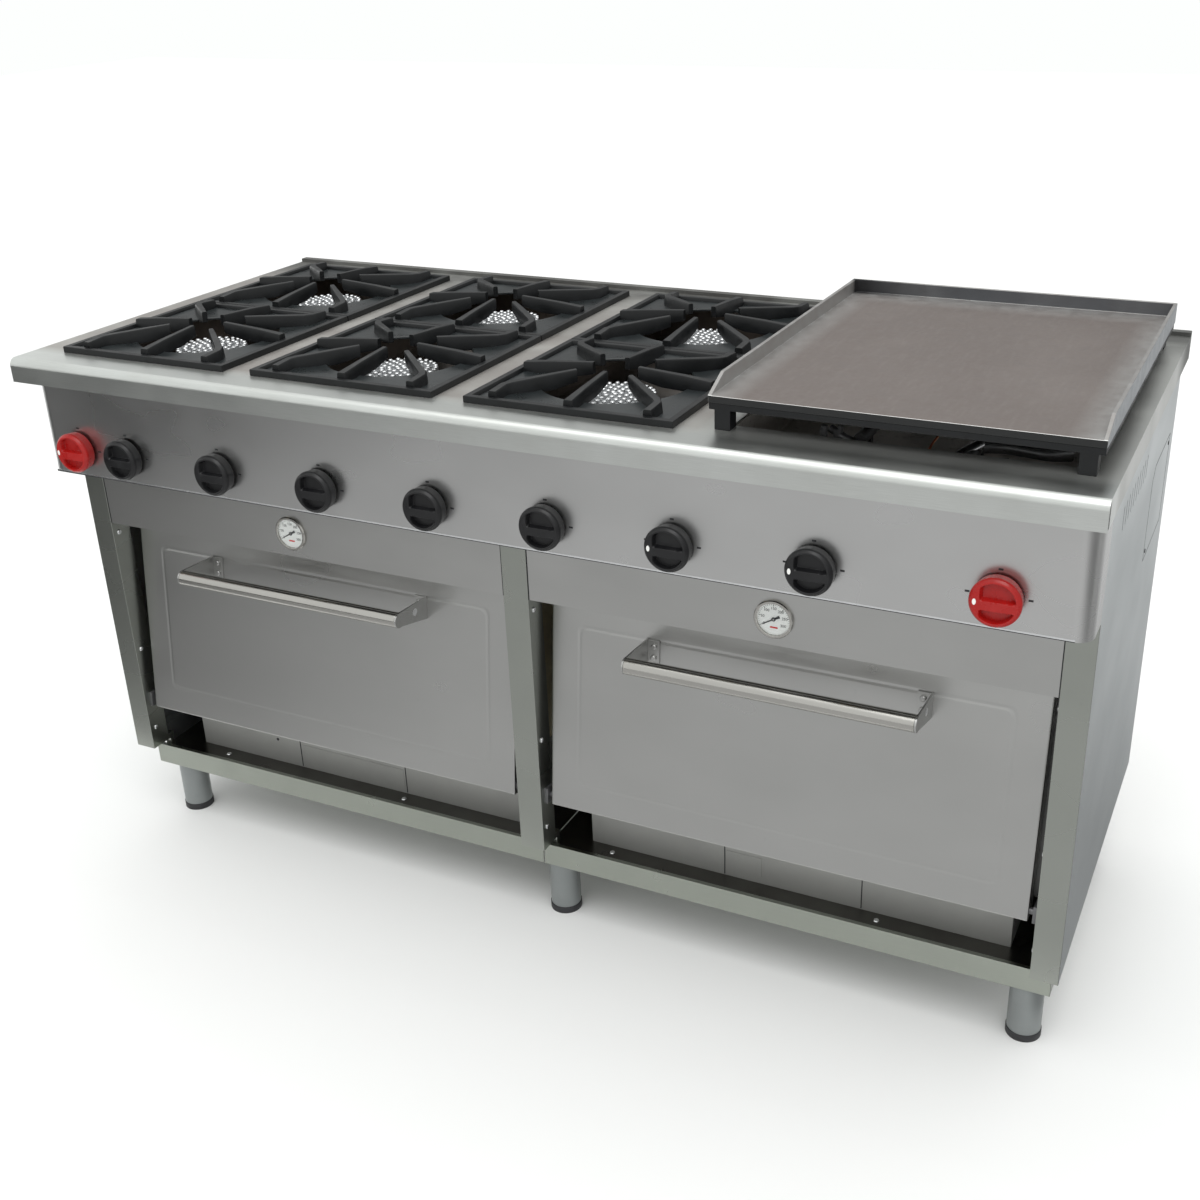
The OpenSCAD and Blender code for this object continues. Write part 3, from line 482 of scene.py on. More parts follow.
def make_materials():
    """Every material by name; plain ones give their patches' spread and scale and their relief."""
    plate_low, plate_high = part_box("griddle_plate")
    made = [
        brushed("steel_sheet", (0.56, 0.56, 0.555), 0.28, wear=0.2),
        brushed("door_steel", (0.46, 0.46, 0.45), 0.30, wear=0.2),
        brushed("post_steel", (0.36, 0.375, 0.345), 0.26, ALONG_Z),
        tray_steel(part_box("left_post")[0].z),
        plain("base_steel", (0.36, 0.36, 0.345), 0.4, 0.45, 0.85, 12, 0.00005),
        countertop_steel(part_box("grate_1_front")[0].y, plate_low.x),
        brushed("side_steel", (0.59, 0.62, 0.625), 0.40, ALONG_Z, wear=0.3),
        brushed("liner_steel", (0.22, 0.22, 0.215), 0.42),
        plain("leg_steel", (0.235, 0.25, 0.25), 0.6, 0.34, 1.2, 20, 0.0001),
        plain("foot_rubber", (0.016, 0.016, 0.018), 0.0, 0.55, 2.0, 60),
        plain("insulation", (0.55, 0.50, 0.36), 0.0, 0.95, 1.2, 80, 0.003),
        plain("bright_metal", (0.74, 0.75, 0.76), 1.0, 0.18, 1.15, 60, 0.0001),
        brushed("handle_steel", (0.46, 0.45, 0.425), 0.20, wear=0.2),
        spill_tray_steel(plate_low.x),
        cast_iron("cast_iron", (0.0065, 0.0072, 0.0078), 0.38),
        plain("cast_deck", (0.013, 0.016, 0.017), 0.0, 0.30, 1.7, 30, 0.0003, Specular_IOR_Level=0.42),
        cast_iron("burner_body", (0.03, 0.03, 0.03), 0.5),
        plain("burner_alloy", (0.72, 0.73, 0.74), 0.9, 0.32, 1.2, 60, 0.0004),
        plain("plain_steel", (0.15, 0.15, 0.155), 0.7, 0.36, 1.7),
        plain("brass", (0.55, 0.42, 0.20), 1.0, 0.32),
        plain("copper", (0.62, 0.27, 0.15), 1.0, 0.3, 1.3),
        gauge_glass(),
        dial_enamel(),
        plastic("red_plastic", (0.34, 0.006, 0.005), 0.26),
        plastic("black_plastic", (0.007, 0.007, 0.008), 0.34),
        mark("white_mark", (0.78, 0.78, 0.76), 0.5, 1.05),
        mark("black_mark", (0.012, 0.012, 0.014), 0.6, 2.5),
        mark("red_mark", (0.55, 0.02, 0.02), 0.5, 1.2),
        mark("needle_paint", (0.015, 0.015, 0.017), 0.4, 2.0),
        griddle_steel(plate_low, plate_high),
        cast_iron("black_iron", (0.007, 0.0075, 0.0085), 0.46),
    ]
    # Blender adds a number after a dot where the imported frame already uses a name
    return {material.name.split(".")[0]: material for material in made}


MATERIALS = make_materials()


def piece(shape, name, node, *materials, bevel=0.0, replaces=True):
    """Makes the shape an object that rides with its node's body and takes its slot."""
    names = materials or (SLOT[node],)
    made = shape.object(name, [MATERIALS[m] for m in names], bevel)
    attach(made, BODY[node])
    if replaces:
        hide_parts(node)
    return made


def paint_nodes():
    """Every CAD node gets the material of its slot, or a closer one where its sheet looks different."""
    looks = {"left_post": "post_steel", "centre_post": "post_steel", "right_post": "post_steel",
             "left_base_tray": "tray_steel", "right_base_tray": "tray_steel", "oven_bases": "base_steel",
             "left_fascia": "door_steel", "right_fascia": "door_steel"}
    for name, made in NODES.items():
        made.data.materials.clear()
        made.data.materials.append(MATERIALS[looks.get(name, SLOT[name])])


# ---- Grates and burners ----

def grate(node):
    """One casting: a bead round the edge, a deck with a round window, straight bars and hooked fingers."""
    low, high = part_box(node)
    centre = (low + high) / 2
    half = (high.x - low.x) / 2
    rise = high.z - low.z
    border_h, border_w = 0.010, 0.0125
    window = 0.113
    deck_z = 0.0045
    bar_end = half - 0.0105
    shape = Shape(Matrix.Translation((centre.x, centre.y, low.z)))

    # Border: a raised bead round the edge, mitred at the corners
    section = [(0.0, 0.0), (0.0, border_h - 0.0008), (0.0008, border_h), (border_w - 0.003, border_h),
               (border_w, deck_z), (border_w, 0.0)]
    shape.loft([[(sx * (half - inset), sy * (half - inset), z) for inset, z in section]
                for sx, sy in ((-1, -1), (1, -1), (1, 1), (-1, 1))], closed=True)

    # Deck: a smooth plate from the border to the round window
    shape.paint = 1
    turns = whole_turn(96, 0.5)
    reach = half - border_w + 0.001

    def on_square(z):
        scales = [reach / max(abs(math.cos(t)), abs(math.sin(t))) for t in turns]
        return [(scale * math.cos(t), scale * math.sin(t), z) for t, scale in zip(turns, scales)]

    def on_circle(r, z):
        return [(r * math.cos(t), r * math.sin(t), z) for t in turns]

    shape.loft([on_square(deck_z), on_circle(window + 0.010, deck_z - 0.0006),
                on_circle(window + 0.002, deck_z + 0.0004), on_circle(window, deck_z - 0.001),
                on_circle(window, 0.0003), on_square(0.0003)], closed=True)
    shape.paint = 0

    # Four straight bars: a flat ridge that widens outwards to a square end
    stations = [(0.036, 0.0032, 0.0042, rise - 0.018, rise),
                (0.074, 0.0038, 0.0056, 0.0020, rise - 0.0028),
                (0.106, 0.0044, 0.0066, 0.0005, rise - 0.0052),
                (bar_end, 0.0058, 0.0088, 0.0005, rise - 0.0098)]
    for quarter in range(4):
        turn = Matrix.Rotation(quarter * math.pi / 2, 4, "Z")
        shape.loft([[turn @ Vector(p) for p in bar_section(x, 0, Vector((0, 1)), top, foot, z1, z2)]
                    for x, top, foot, z1, z2 in stations])

    # Four hooked fingers: diagonal from the tip, then a leg towards the front or back border
    line = [(0.043, 0.042, rise - 0.018, rise),
            (0.070, 0.067, 0.0020, rise - 0.0026),
            (0.113, 0.107, 0.0005, rise - 0.0072),
            (0.1195, 0.118, 0.0005, rise - 0.0080),
            (0.1195, bar_end, 0.0005, rise - 0.0100)]
    widths = ((0.0030, 0.0040), (0.0042, 0.0062), (0.0050, 0.0080))
    for sx in (-1, 1):
        for sy in (-1, 1):
            rings = []
            for i, (x, y, z1, z2) in enumerate(line):
                before, after = Vector(line[max(i - 1, 0)][:2]), Vector(line[min(i + 1, len(line) - 1)][:2])
                along = (after - before).normalized()
                out = Vector((-along.y, along.x))
                top, foot = widths[min(i, 2)]
                section = bar_section(x, y, out, top, foot, z1, z2)
                rings.append([(sx * px, sy * py, pz) for px, py, pz in section])
            shape.loft(rings)
    return piece(shape, node + "_casting", node, "cast_iron", "cast_deck", bevel=0.0007)


def bar_section(x, y, out, top, foot, low, high):
    """A bar's section: tapered sides under a flat ridge with chamfered shoulders."""
    shoulder, drop = top + 0.0012, high - 0.0022
    outline = ((-foot, low), (foot, low), (shoulder, drop), (top, high), (-top, high), (-shoulder, drop))
    return [(x + out.x * w, y + out.y * w, z) for w, z in outline]


def burner_heads():
    """Each head is a disc whose dark face is crowded with rings of short bright port studs."""
    low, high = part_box("burner_heads")
    radius = middle("grate_1_front").x - low.x
    foot = low.z
    step = foot + 0.0115
    rings, ring_pitch, stud_pitch = 5, 0.0118, 0.0122
    up = (0, 0, 1)
    shape = Shape()
    for node in GRATES:
        x, y, _ = middle(node)
        shape.lathe([(0.0, foot), (radius - 0.004, foot), (radius, foot + 0.002), (radius, step - 0.0015),
                     (radius - 0.0015, step), (radius - 0.004, step - 0.0004), (0.0, step - 0.0004)],
                    (x, y, 0), up, 64)
        shape.paint = 1
        shape.lathe([(radius - 0.0045, step - 0.001), (radius - 0.0045, step + 0.0002), (0.0, step + 0.0002)],
                    (x, y, 0), up, 64)
        shape.paint = 0
        for ring in range(rings):
            r = ring_pitch * ring + 0.0068
            top = high.z - 0.0004 * ring
            stud = [(0.0042, step - 0.001), (0.0036, step + 0.0015), (0.0034, top - 0.0012), (0.0024, top),
                    (0.0, top)]
            for t in whole_turn(round(2 * math.pi * r / stud_pitch), 0.5 * (ring % 2)):
                shape.lathe(stud, (x + r * math.cos(t), y + r * math.sin(t), 0), up, 12)
    return piece(shape, "burner_port_heads", "burner_heads", "burner_alloy", "burner_body")


# ---- Knobs ----

def knob(node):
    """Moulded knob: a drum whose face has two pockets that leave a level grip, and a pointer mark."""
    low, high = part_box(node)
    centre = (low + high) / 2
    radius = (high.x - low.x) / 2
    front, back = low.y, low.y + 0.022
    face = radius - 0.0026
    rings = 40
    turns = whole_turn(96)
    shape = Shape(Matrix.Translation((centre.x, 0, centre.z)))
    loops = []
    for k in range(rings + 1):
        r = face * k / rings or POINT
        ring = [(r * math.cos(t), r * math.sin(t)) for t in turns]
        loops.append([(x, front + face_depth(x, z, face), z) for x, z in ring])
    side = ((face + 0.0013, front + 0.0040), (radius - 0.0003, front + 0.0060), (radius, front + 0.0078),
            (radius - 0.0006, front + 0.0100), (radius * 0.955, back - 0.0020), (radius * 0.945, back),
            (POINT, back))
    for r, y in side:
        loops.append([(r * math.cos(t), y, r * math.sin(t)) for t in turns])
    shape.loft(loops)
    shape.rod((0, back - 0.001, 0), (0, high.y, 0), 0.004)
    shape.paint = 1
    pointer = [(-0.0245 + 0.0024 * math.cos(t), 0.0042 * math.sin(t)) for t in turns[::6]]
    shape.prism(pointer, 1, front + 0.0005, front + 0.0022)
    painted = SLOT[node] == "red_plastic" or node in ("burner_knob_6", "griddle_knob")
    return piece(shape, node + "_moulding", node, SLOT[node], "white_mark" if painted else SLOT[node])


def face_depth(x, z, face):
    """How far the knob's face lies behind its front plane."""
    rim, wall, pocket = 0.0034, 0.0026, 0.0085
    grip_top, grip_bottom, grip_left = 0.0025, -0.0095, -0.0185
    corner = 0.0009
    crown = 0.0014
    edge_width, edge_drop = 0.0020, 0.0016
    r = math.hypot(x, z)
    off_grip = z - grip_top if z > 0 else grip_bottom - z
    sides = (face - rim - r, off_grip, x - grip_left)
    inside = -math.log(sum(math.exp(-side / corner) for side in sides)) * corner
    share = max(0.0, min(1.0, inside / wall))
    share = share * share * (3 - 2 * share)
    edge = max(0.0, (r - (face - edge_width)) / edge_width)
    return crown * (r / face) ** 2 + share * pocket + edge * edge * edge_drop


def panel_marks():
    """Three printed dashes round each knob."""
    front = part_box("control_panel")[0].y
    dash_x, dash_z = 0.0030, 0.0014
    shape = Shape()
    for name in KNOBS:
        low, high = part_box(name)
        centre = middle(name)
        reach = (high.x - low.x) / 2
        for dx, dz in ((0, reach + 0.0035), (-reach - 0.0060, 0.001), (reach + 0.0060, 0.001)):
            x, z = centre.x + dx, centre.z + dz
            shape.block((x - dash_x, front - 0.00015, z - dash_z), (x + dash_x, front + 0.0004, z + dash_z))
    return piece(shape, "panel_marks", "control_panel", "black_mark", replaces=False)


# ---- Thermometers ----

def thermometer(side):
    """Bezel, dial with ticks, figures and a red bar, and the needle's boss, on the needle's axis."""
    low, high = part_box("thermometer_cases")
    needle_low, needle_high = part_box(side + "_needle")
    x, _, z = JOINTS[side + "_needle_turn"]["pos_m"]
    radius = (high.z - low.z) / 2
    front, seam = low.y, low.y + 0.005
    dial, boss = needle_high.y + 0.0003, needle_low.y - 0.0002
    centre, back = (0, 0, 0), (0, 1, 0)
    shape = Shape(Matrix.Translation((x, 0, z)))
    bezel = [(radius - 0.0050, seam - 0.0008), (radius - 0.0046, front + 0.0005), (radius - 0.0034, front),
             (radius - 0.0012, front + 0.0003), (radius, front + 0.0016), (radius, seam)]
    body = [(radius - 0.004, seam), (radius - 0.0041, high.y - 0.002), (radius - 0.007, high.y), (0, high.y)]
    shape.lathe(bezel + body, centre, back, 72)
    # Painted shade: a black ring on the dial just inside the bezel, where the bezel shades the dial
    shape.paint = 2
    outer, inner = radius - 0.0050, radius - 0.0064
    bezel_shade_ring = [(outer, seam - 0.0011), (inner, seam - 0.0011), (inner, seam - 0.0002), (outer, seam - 0.0002)]
    shape.lathe(bezel_shade_ring, centre, back, 72)
    shape.paint = 0
    shape.lathe([(0, boss), (0.0009, boss), (0.0009, dial + 0.0004), (0, dial + 0.0004)], centre, back, 16)
    shape.paint = 1
    shape.lathe([(0, dial), (radius - 0.0044, dial), (radius - 0.0044, seam - 0.0006), (0, seam - 0.0006)],
                centre, back, 72)
    shape.paint = 2
    first_tick, tick_step, long_every = 210, 8, 5
    for i in range(28):
        t = math.radians(first_tick - i * tick_step)
        inset, width = (0.0092, 0.00042) if i % long_every == 0 else (0.0078, 0.00022)
        along, across = Vector((math.cos(t), 0, math.sin(t))), Vector((-math.sin(t), 0, math.cos(t)))
        corners = [along * (radius - r) + across * w
                   for r, w in ((inset, -width), (0.006, -width), (0.006, width), (inset, width))]
        shape.loft([[c + Vector((0, dial + lift, 0)) for c in corners] for lift in (-0.0001, 0.0001)])
    shape.paint = 3
    shape.block((-0.0052, dial - 0.0001, -0.0138), (0.0062, dial + 0.0001, -0.0112))
    looks = ("handle_steel", "dial_enamel", "black_mark", "red_mark")
    case = shape.object(side + "_thermometer_case", [MATERIALS[look] for look in looks])
    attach(case, "frame")
    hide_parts("thermometer_cases")
    for i in range(7):
        angle = math.radians(first_tick - i * tick_step * long_every)
        reach = radius - 0.0125
        place = (x + reach * math.cos(angle), dial - 0.00015, z + reach * math.sin(angle))
        number(f"{side}_dial_{i * 50}", str(i * 50), place)
    return case


def number(name, text, place):
    """A dial's numeral as a thin mesh."""
    curve = bpy.data.curves.new(name, "FONT")
    curve.body = text
    curve.size = 0.0058
    curve.extrude = 0.00005
    curve.align_x = "CENTER"
    curve.align_y = "CENTER"
    holder = bpy.data.objects.new(name, curve)
    bpy.context.scene.collection.objects.link(holder)
    bpy.context.view_layer.update()
    mesh = bpy.data.meshes.new_from_object(holder.evaluated_get(bpy.context.evaluated_depsgraph_get()))
    bpy.data.objects.remove(holder)
    mesh.transform(Matrix.Translation(place) @ Matrix.Rotation(math.pi / 2, 4, "X"))
    mesh.materials.clear()
    mesh.materials.append(MATERIALS["black_mark"])
    made = bpy.data.objects.new(name, mesh)
    bpy.context.scene.collection.objects.link(made)
    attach(made, "frame")


# ---- Doors ----

def door_frame(side):
    """The door's own axes: x along the bay, y into the door, z up its slope."""
    joint = JOINTS[side + "_door_hinge"]
    lean = math.radians(joint["range_deg"][1] - 90)
    pin = Vector((0, 0.012, 0.012))
    return Matrix.Translation(joint["pos_m"]) @ Matrix.Rotation(-lean, 4, "X") @ Matrix.Translation(-pin)


def own_box(node, matrix):
    """A node's box in other axes."""
    corners = [matrix.inverted() @ vertex.co for vertex in NODES[node].data.vertices]
    return [Vector([pick(c[i] for c in corners) for i in range(3)]) for pick in (min, max)]


def door_skin(side):
    """Folded skin with a shallow rectangular line pressed into its face."""
    node = side + "_door_skin"
    matrix = door_frame(side)
    _, (half, deep, height) = own_box(node, matrix)
    fold, press = 0.0022, 0.048
    line = [(0.0, deep), (0.0, fold + 0.001), (0.0, fold), (fold * 0.3, fold * 0.3), (fold, 0.0),
            (fold + 0.001, 0.0), (press - 0.0045, 0.0), (press - 0.0035, 0.0), (press - 0.0012, 0.0005),
            (press + 0.0012, 0.0005), (press + 0.0035, 0.0), (press + 0.0045, 0.0), (press + 0.02, 0.0)]
    rings = []
    for inset, y in line:
        ring = []
        radius = max(0.0008, min(inset, 0.012))
        for sx, sz, start in ((1, 1, 0), (-1, 1, 90), (-1, -1, 180), (1, -1, 270)):
            corner = (sx * (half - inset - radius), height / 2 + sz * (height / 2 - inset - radius))
            ring += [(x, y, z) for x, z in arc(corner, radius, start, start + 90, 5)]
        rings.append(ring)
    shape = Shape(matrix)
    shape.loft(rings, start_cap=False)
    made = piece(shape, side + "_door_sheet", node, "door_steel")
    solid = made.modifiers.new("sheet", "SOLIDIFY")
    solid.thickness = 0.0012
    solid.offset = -1
    return made


def handle(side):
    """Brushed bar between two end plates with inward feet, bolts and pressed plugs."""
    node = side + "_handle"
    matrix = door_frame(side)
    low, high = own_box(node, matrix)
    plate = 0.003
    half = (high.x - low.x) / 2 - plate
    radius = 0.0125
    bar_y, bar_z = low.y + radius + 0.0005, low.z + 0.021
    foot, top = low.z, high.z
    shape = Shape(matrix @ Matrix.Translation(((high.x + low.x) / 2, 0, 0)))
    length, chamfer = 2 * half, 0.0006
    bar = [(radius - chamfer, 0), (radius, chamfer), (radius, length - chamfer), (radius - chamfer, length)]
    shape.lathe(bar, (-half, bar_y, bar_z), (1, 0, 0), 48)
    shape.paint = 1
    outline = [(0.0, top), (0.0, foot), (bar_y + 0.006, bar_z - radius + 0.0006)]
    outline += arc((bar_y, bar_z), radius, 285, 80, 10)
    bolt = [(0, -plate - 0.0042), (0.003, -plate - 0.0042), (0.0045, -plate - 0.003),
            (0.0047, -plate + 0.0005), (0, -plate + 0.0005)]
    for s in (-1, 1):
        shape.prism(outline, 0, *sorted((s * half, s * (half + plate))))
        x1, x2 = sorted((s * half, s * (half - 0.019)))
        shape.block((x1, -plate, foot + 0.001), (x2, 0.0, top - 0.001))
        for z in (top - 0.010, top - 0.028):
            shape.lathe(bolt, (s * (half - 0.0105), 0, z), (0, 1, 0), 20)
    shape.paint = 2
    plug = [(0.0062, -0.0005), (0.0062, 0.0001), (0.0050, 0.0003), (0, 0.0003)]
    for s in (-1, 1):
        shape.lathe(plug, (s * (half + plate), bar_y * 0.45, bar_z + 0.001), (s, 0, 0), 28)
    looks = ("handle_steel", "door_steel", "bright_metal")
    return piece(shape, side + "_bar_handle", node, *looks, bevel=0.0006)


# ---- Griddle ----

def griddle_burner_fittings():
    """The burner's open mixing tube, its bent feed tubes, pilot bracket and copper thermocouple.

    Points are from the griddle's left front corner, on the bottom of the spill trays.
    """
    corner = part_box("griddle_plate")[0]
    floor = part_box("spill_trays")[0].z
    shape = Shape(Matrix.Translation((corner.x, corner.y, floor)))
    shape.tube(smooth_path([(0.1415, 0.0830, 0.0560), (0.1745, 0.0730, 0.0450), (0.2345, 0.0650, 0.0380),
                            (0.3145, 0.0690, 0.0370), (0.3745, 0.0940, 0.0350)]), 0.0055)
    shape.tube(smooth_path([(0.3295, 0.1130, 0.0440), (0.3645, 0.1310, 0.0410), (0.4145, 0.1290, 0.0390),
                            (0.4425, 0.1490, 0.0350)]), 0.0085)
    shape.tube(smooth_path([(0.1065, 0.0570, 0.0250), (0.1145, 0.0590, 0.0430), (0.1265, 0.0630, 0.0480),
                            (0.1365, 0.0690, 0.0390)]), 0.0022, 10)
    shape.block((0.1345, 0.0590, 0.0190), (0.1425, 0.0606, 0.0610))
    shape.block((0.1485, 0.0730, 0.0190), (0.1585, 0.0746, 0.0590))
    shape.rod((0.1385, 0.0650, 0.0440), (0.1385, 0.0650, 0.0650), 0.0042)
    shape.rod((0.1565, 0.0770, 0.0410), (0.1565, 0.0770, 0.0630), 0.0035)
    shape.block((0.1305, 0.0630, 0.0380), (0.1665, 0.0790, 0.0405))
    shape.paint = 1
    shape.tube([(0.3175, 0.0700, 0.0435), (0.3245, 0.0910, 0.0445), (0.3325, 0.1150, 0.0450)],
               0.0085, 28, 0.0014)
    shape.paint = 2
    shape.tube(smooth_path([(0.2705, 0.0870, 0.0330), (0.2735, 0.0970, 0.0440), (0.2785, 0.1090, 0.0530)], 4),
               0.0017, 10)
    looks = ("plain_steel", "bright_metal", "copper")
    return piece(shape, "griddle_burner_fittings", "griddle_burner", *looks, replaces=False)


# ---- Sheet metal and screws ----

def seams():
    """Overlaps, a rivet hole and pressed edges on the sheets that close the ovens' fronts below the doors."""
    low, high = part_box("oven_bases")
    front, back = low.y, low.y + 0.001
    shape = Shape()
    for x in (-0.532, -0.304, 0.303, 0.530):
        shape.block((x - 0.0008, front - 0.0007, low.z + 0.002), (x + 0.0008, back, high.z - 0.002))
    hole = (-0.583, front + 0.0001, low.z + 0.047)
    shape.lathe([(0, 0), (0.003, 0), (0.003, 0.0006), (0, 0.0006)], hole, (0, -1, 0), 16)
    shape.paint = 1
    for x1, x2 in ((-0.528, -0.308), (0.306, 0.366)):
        shape.block((x1, front - 0.0008, low.z + 0.012), (x2, back, low.z + 0.048))
    return piece(shape, "base_seams", "oven_bases", "black_mark", "base_steel", replaces=False, bevel=0.0004)


def painted_gap_and_edge_light():
    """Painted shade in the gaps beside the sheets above the doors, and a painted shadow and a painted highlight
    along the control panel's folded lower edge.
    """
    proud, buried = 0.0003, 0.0004
    gap = 0.0015
    shape = Shape()
    # Painted shade: black strips at both ends of each fascia stand in for the shaded gaps
    for node in ("left_fascia", "right_fascia"):
        low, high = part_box(node)
        for x in (low.x, high.x - gap):
            shape.block((x, low.y - 0.0002, low.z), (x + gap, low.y + buried, high.z))
    piece(shape, "fascia_gap_shade", "left_fascia", "black_mark", replaces=False)
    low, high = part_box("control_panel")
    left, right = low.x + 0.012, high.x - 0.020
    shadow, bright = low.z + 0.0011, low.z + 0.0034
    # Painted shadow and painted highlight: a black strip along the panel's lower edge with a bright strip over it
    shape = Shape()
    shape.block((left, low.y - proud, low.z), (right, low.y + buried, shadow))
    shape.paint = 1
    shape.block((left, low.y - proud, shadow), (right, low.y + buried, bright))
    piece(shape, "panel_edge_shadow_and_highlight", "control_panel", "black_mark", "bright_metal", replaces=False)


def side_hatch():
    """A flush access hatch near the back of the right side panel, with two screws."""
    _, (x, back, top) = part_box("right_side_panel")
    y1, y2 = back - 0.225, back - 0.045
    z1, z2 = top - 0.283, top - 0.138
    gap, cut_corner, screw_inset = 0.0012, 0.02, 0.012
    shape = Shape()
    outline = [(y1, z1), (y2, z1), (y2, z2), (y1 + cut_corner, z2), (y1, z2 - cut_corner)]
    for start, end in zip(outline, outline[1:] + outline[:1]):
        (ya, za), (yb, zb) = start, end
        along = Vector((yb - ya, zb - za)).normalized() * gap
        across = Vector((-along.y, along.x)) * 0.5
        line = [(ya + across.x, za + across.y), (yb + across.x, zb + across.y),
                (yb - across.x, zb - across.y), (ya - across.x, za - across.y)]
        shape.prism(line, 0, x - 0.0004, x + 0.0002)
    for y, z in ((y1 + screw_inset, z1 + screw_inset), (y2 - screw_inset, z2 - screw_inset)):
        shape.lathe([(0.0035, 0), (0.0030, 0.0012), (0, 0.0016)], (x - 0.0002, y, z), (1, 0, 0), 16)
    return piece(shape, "side_hatch_outline", "right_side_panel", "black_mark", replaces=False)


def fold_edges():
    """Rounds the edges of the folded sheets, the griddle and the foot caps."""
    widths = {"left_post": 0.0007, "centre_post": 0.0007, "right_post": 0.0007,
              "left_base_tray": 0.0007, "right_base_tray": 0.0007, "oven_bases": 0.0010,
              "griddle_plate": 0.0010, "griddle_stand": 0.0008, "foot_caps": 0.0015}
    for name, width in widths.items():
        soften(name, width)


def fasteners():
    """Domed heads in place of the plain screws: into the posts' returns, or down into the base trays."""
    bays = [middle(side + "_fascia").x for side in SIDES]
    shape = Shape()
    for points in vertex_islands(NODES["screws"].data):
        low, high = (Vector([pick(p[i] for p in points) for i in range(3)]) for pick in (min, max))
        centre, size = (low + high) / 2, high - low
        length, radius = min(size), max(size) / 2
        outward = Vector((0, 0, 1))
        if size.x < size.z:
            bay = min(bays, key=lambda x: abs(x - centre.x))
            outward = Vector((math.copysign(1, bay - centre.x), 0, 0))
        shape.lathe([(0, 0), (radius, 0), (radius, length * 0.35), (radius * 0.82, length * 0.8),
                     (radius * 0.45, length), (0.0, length)], centre - outward * length / 2, outward, 24)
    return piece(shape, "pan_head_screws", "screws")


def vertex_islands(mesh):
    """Groups of points that belong to one solid, however its vertices are split."""
    bm = bmesh.new()
    bm.from_mesh(mesh)
    bmesh.ops.remove_doubles(bm, verts=bm.verts[:], dist=1e-5)
    seen, groups = set(), []
    for start in bm.verts:
        if start in seen:
            continue
        stack, group = [start], []
        seen.add(start)
        while stack:
            vertex = stack.pop()
            group.append(vertex.co.copy())
            others = [edge.other_vert(vertex) for edge in vertex.link_edges]
            fresh = [other for other in others if other not in seen]
            seen.update(fresh)
            stack.extend(fresh)
        groups.append(group)
    bm.free()
    return groups


# ---- Stage ----

def stage():
    """White floor and surround, soft light from above, and grey cards that only reflections see."""
    floor = Shape()
    floor.block((-14, -14, -0.02), (14, 14, 0.0))
    paint = Paint("floor_paint", (0.86, 0.86, 0.855), 0.0, 0.9, Specular_IOR_Level=0.1)
    paint.tint(paint.mask(paint.noise(0.8, 3), 0.4, 0.7, 0.3), (0.84, 0.84, 0.838))
    floor.object("floor", [paint.material])
    world = bpy.data.worlds.new("studio")
    bpy.context.scene.world = world
    world.use_nodes = True
    background = world.node_tree.nodes["Background"]
    background.inputs["Color"].default_value = (0.985, 1.0, 0.99, 1)
    background.inputs["Strength"].default_value = 1.0

    lamp = bpy.data.lights.new("overhead", "AREA")
    lamp.shape = "RECTANGLE"
    lamp.size, lamp.size_y = 3.0, 1.8
    lamp.energy = 17
    lamp.color = (1.0, 1.0, 0.98)
    place, target = Vector((0.0, -0.2, 3.2)), Vector((0.0, 0.0, 0.6))
    aim_light(lamp, place, (target - place).to_track_quat("-Z", "Y").to_euler())
    sun = bpy.data.lights.new("soft_sun", "SUN")
    sun.energy = 0.9
    sun.angle = math.radians(40)
    aim_light(sun, (0, 0, 0), (math.radians(24), math.radians(10), 0))

    card("front_card", (-7, -7, 0.004), (6, -0.5, 0.005), "X",
         [(-3.4, 0.03), (-2.8, 0.05), (-2.3, 0.15), (-2.0, 0.24), (-1.6, 0.56), (-1.1, 0.62), (0.0, 0.65),
          (1.2, 0.73), (1.8, 0.65), (2.4, 0.2)])
    card("near_card", (-3.2, -1.35, 0.008), (-0.7, -0.5, 0.009), "X",
         [(-2.4, 0.06), (-1.8, 0.14), (-1.3, 0.30), (-0.9, 0.48), (-0.7, 0.60)])
    card("side_card", (0.87, -0.5, 0.004), (3.0, 0.42, 0.005), "X", [(0.9, 0.28), (2.0, 0.4)])
    card("back_card", (-3, 0.42, 0.004), (6, 4.4, 0.005), "Y", [(0.42, 0.36), (1.0, 0.58), (2.4, 0.85)])
    card("back_wall", (-6, 4.4, 0.004), (8, 4.41, 3.2), "Z",
         [(0.6, 0.55), (1.4, 0.22), (2.2, 0.32), (3.2, 0.5)])
    card("right_card", (3.2, -3, 0.004), (3.21, 4, 2.4), "Z", [(0.3, 0.3), (1.6, 0.65)])


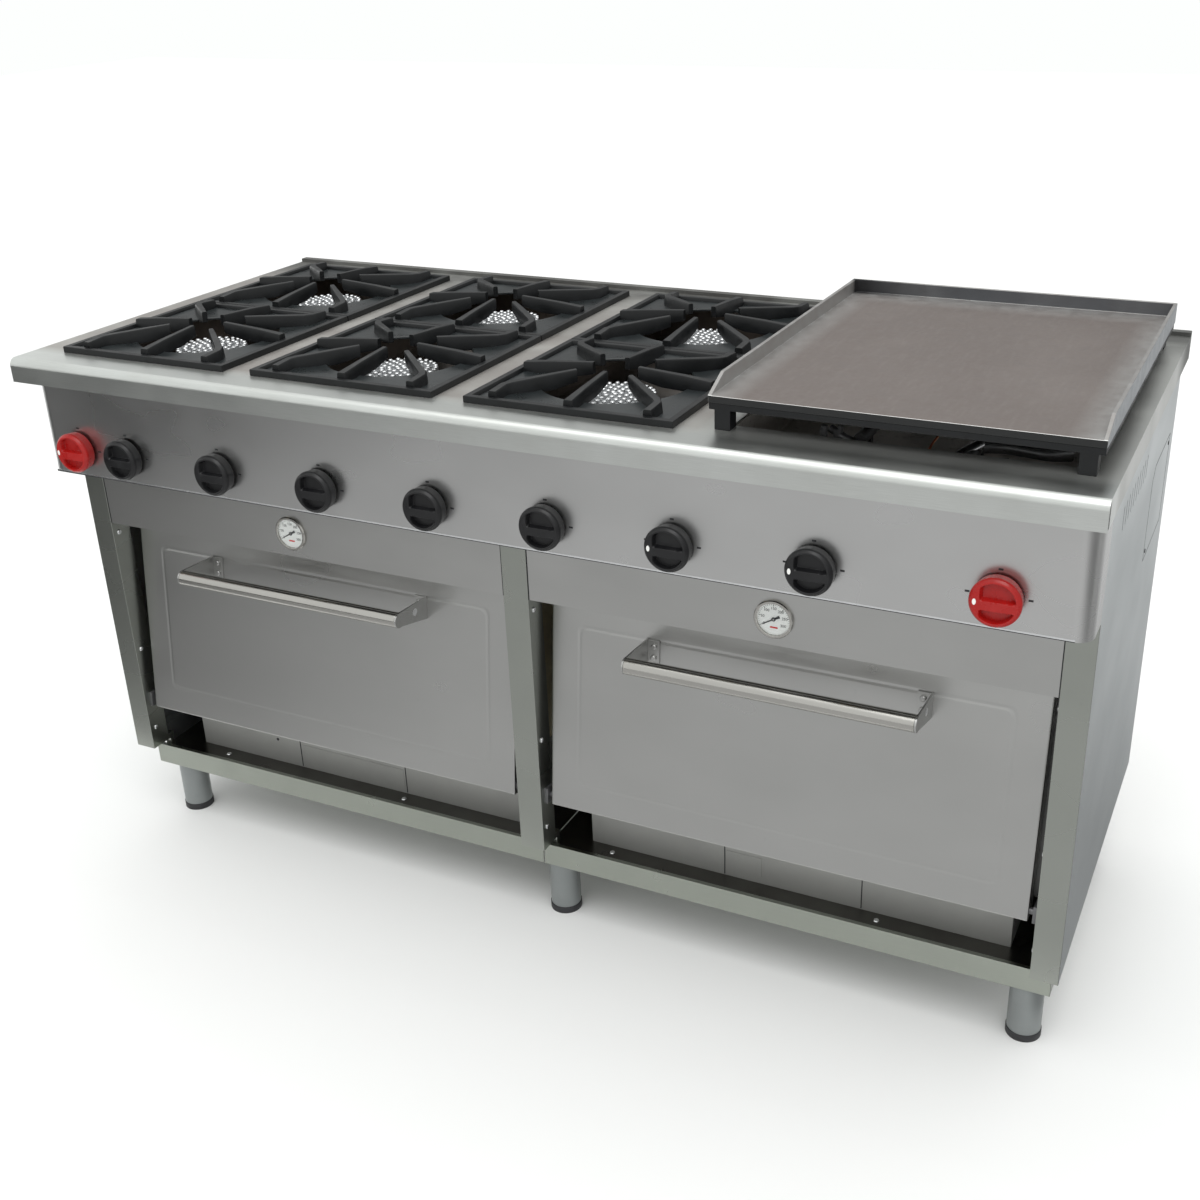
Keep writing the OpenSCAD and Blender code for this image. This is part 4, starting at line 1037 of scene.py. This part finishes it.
def card(name, low, high, axis, stops):
    """A sheet of light seen only in reflections; stops give its brightness along an axis."""
    shape = Shape()
    shape.block(low, high)
    material = bpy.data.materials.new(name)
    material.use_nodes = True
    tree = material.node_tree
    tree.nodes.clear()
    place = tree.nodes.new("ShaderNodeTexCoord")
    split = tree.nodes.new("ShaderNodeSeparateXYZ")
    tree.links.new(place.outputs["Object"], split.inputs[0])
    brightness = None
    for (start, v1), (end, v2) in zip(stops, stops[1:]):
        rise = tree.nodes.new("ShaderNodeMapRange")
        tree.links.new(split.outputs[axis], rise.inputs[0])
        for socket, value in zip(list(rise.inputs)[1:5], (start, end, 0, v2 - v1)):
            socket.default_value = value
        total = tree.nodes.new("ShaderNodeMath")
        total.inputs[0].default_value = v1
        if brightness:
            tree.links.new(brightness, total.inputs[0])
        tree.links.new(rise.outputs[0], total.inputs[1])
        brightness = total.outputs[0]
    light = tree.nodes.new("ShaderNodeEmission")
    light.inputs["Color"].default_value = (0.985, 0.992, 0.99, 1)
    tree.links.new(brightness, light.inputs["Strength"])
    out = tree.nodes.new("ShaderNodeOutputMaterial")
    tree.links.new(light.outputs[0], out.inputs["Surface"])
    made = shape.object(name, [material])
    made.visible_camera = made.visible_diffuse = made.visible_shadow = made.visible_transmission = False


def aim_light(light, place, turn):
    made = bpy.data.objects.new(light.name, light)
    made.location = place
    made.rotation_euler = turn
    bpy.context.scene.collection.objects.link(made)


def camera():
    """Seen from the right front and above, at standing height."""
    tilt, roll, heading = 65.2584, 1.4615, 25.3328
    data = bpy.data.cameras.new("camera")
    data.lens = 43.56
    data.sensor_width = 36
    data.shift_x = -0.035
    data.shift_y = -0.010
    made = bpy.data.objects.new("camera", data)
    made.location = (1.0394, -1.9825, 1.5349)
    made.rotation_euler = [math.radians(angle) for angle in (tilt, roll, heading)]
    bpy.context.scene.collection.objects.link(made)
    bpy.context.scene.camera = made
    bpy.context.scene.view_settings.view_transform = "Standard"


camera()
stage()
paint_nodes()
for name in GRATES:
    grate(name)
burner_heads()
for name in KNOBS:
    knob(name)
panel_marks()
for side in SIDES:
    thermometer(side)
    door_skin(side)
    handle(side)
fasteners()
griddle_burner_fittings()
seams()
painted_gap_and_edge_light()
side_hatch()
fold_edges()
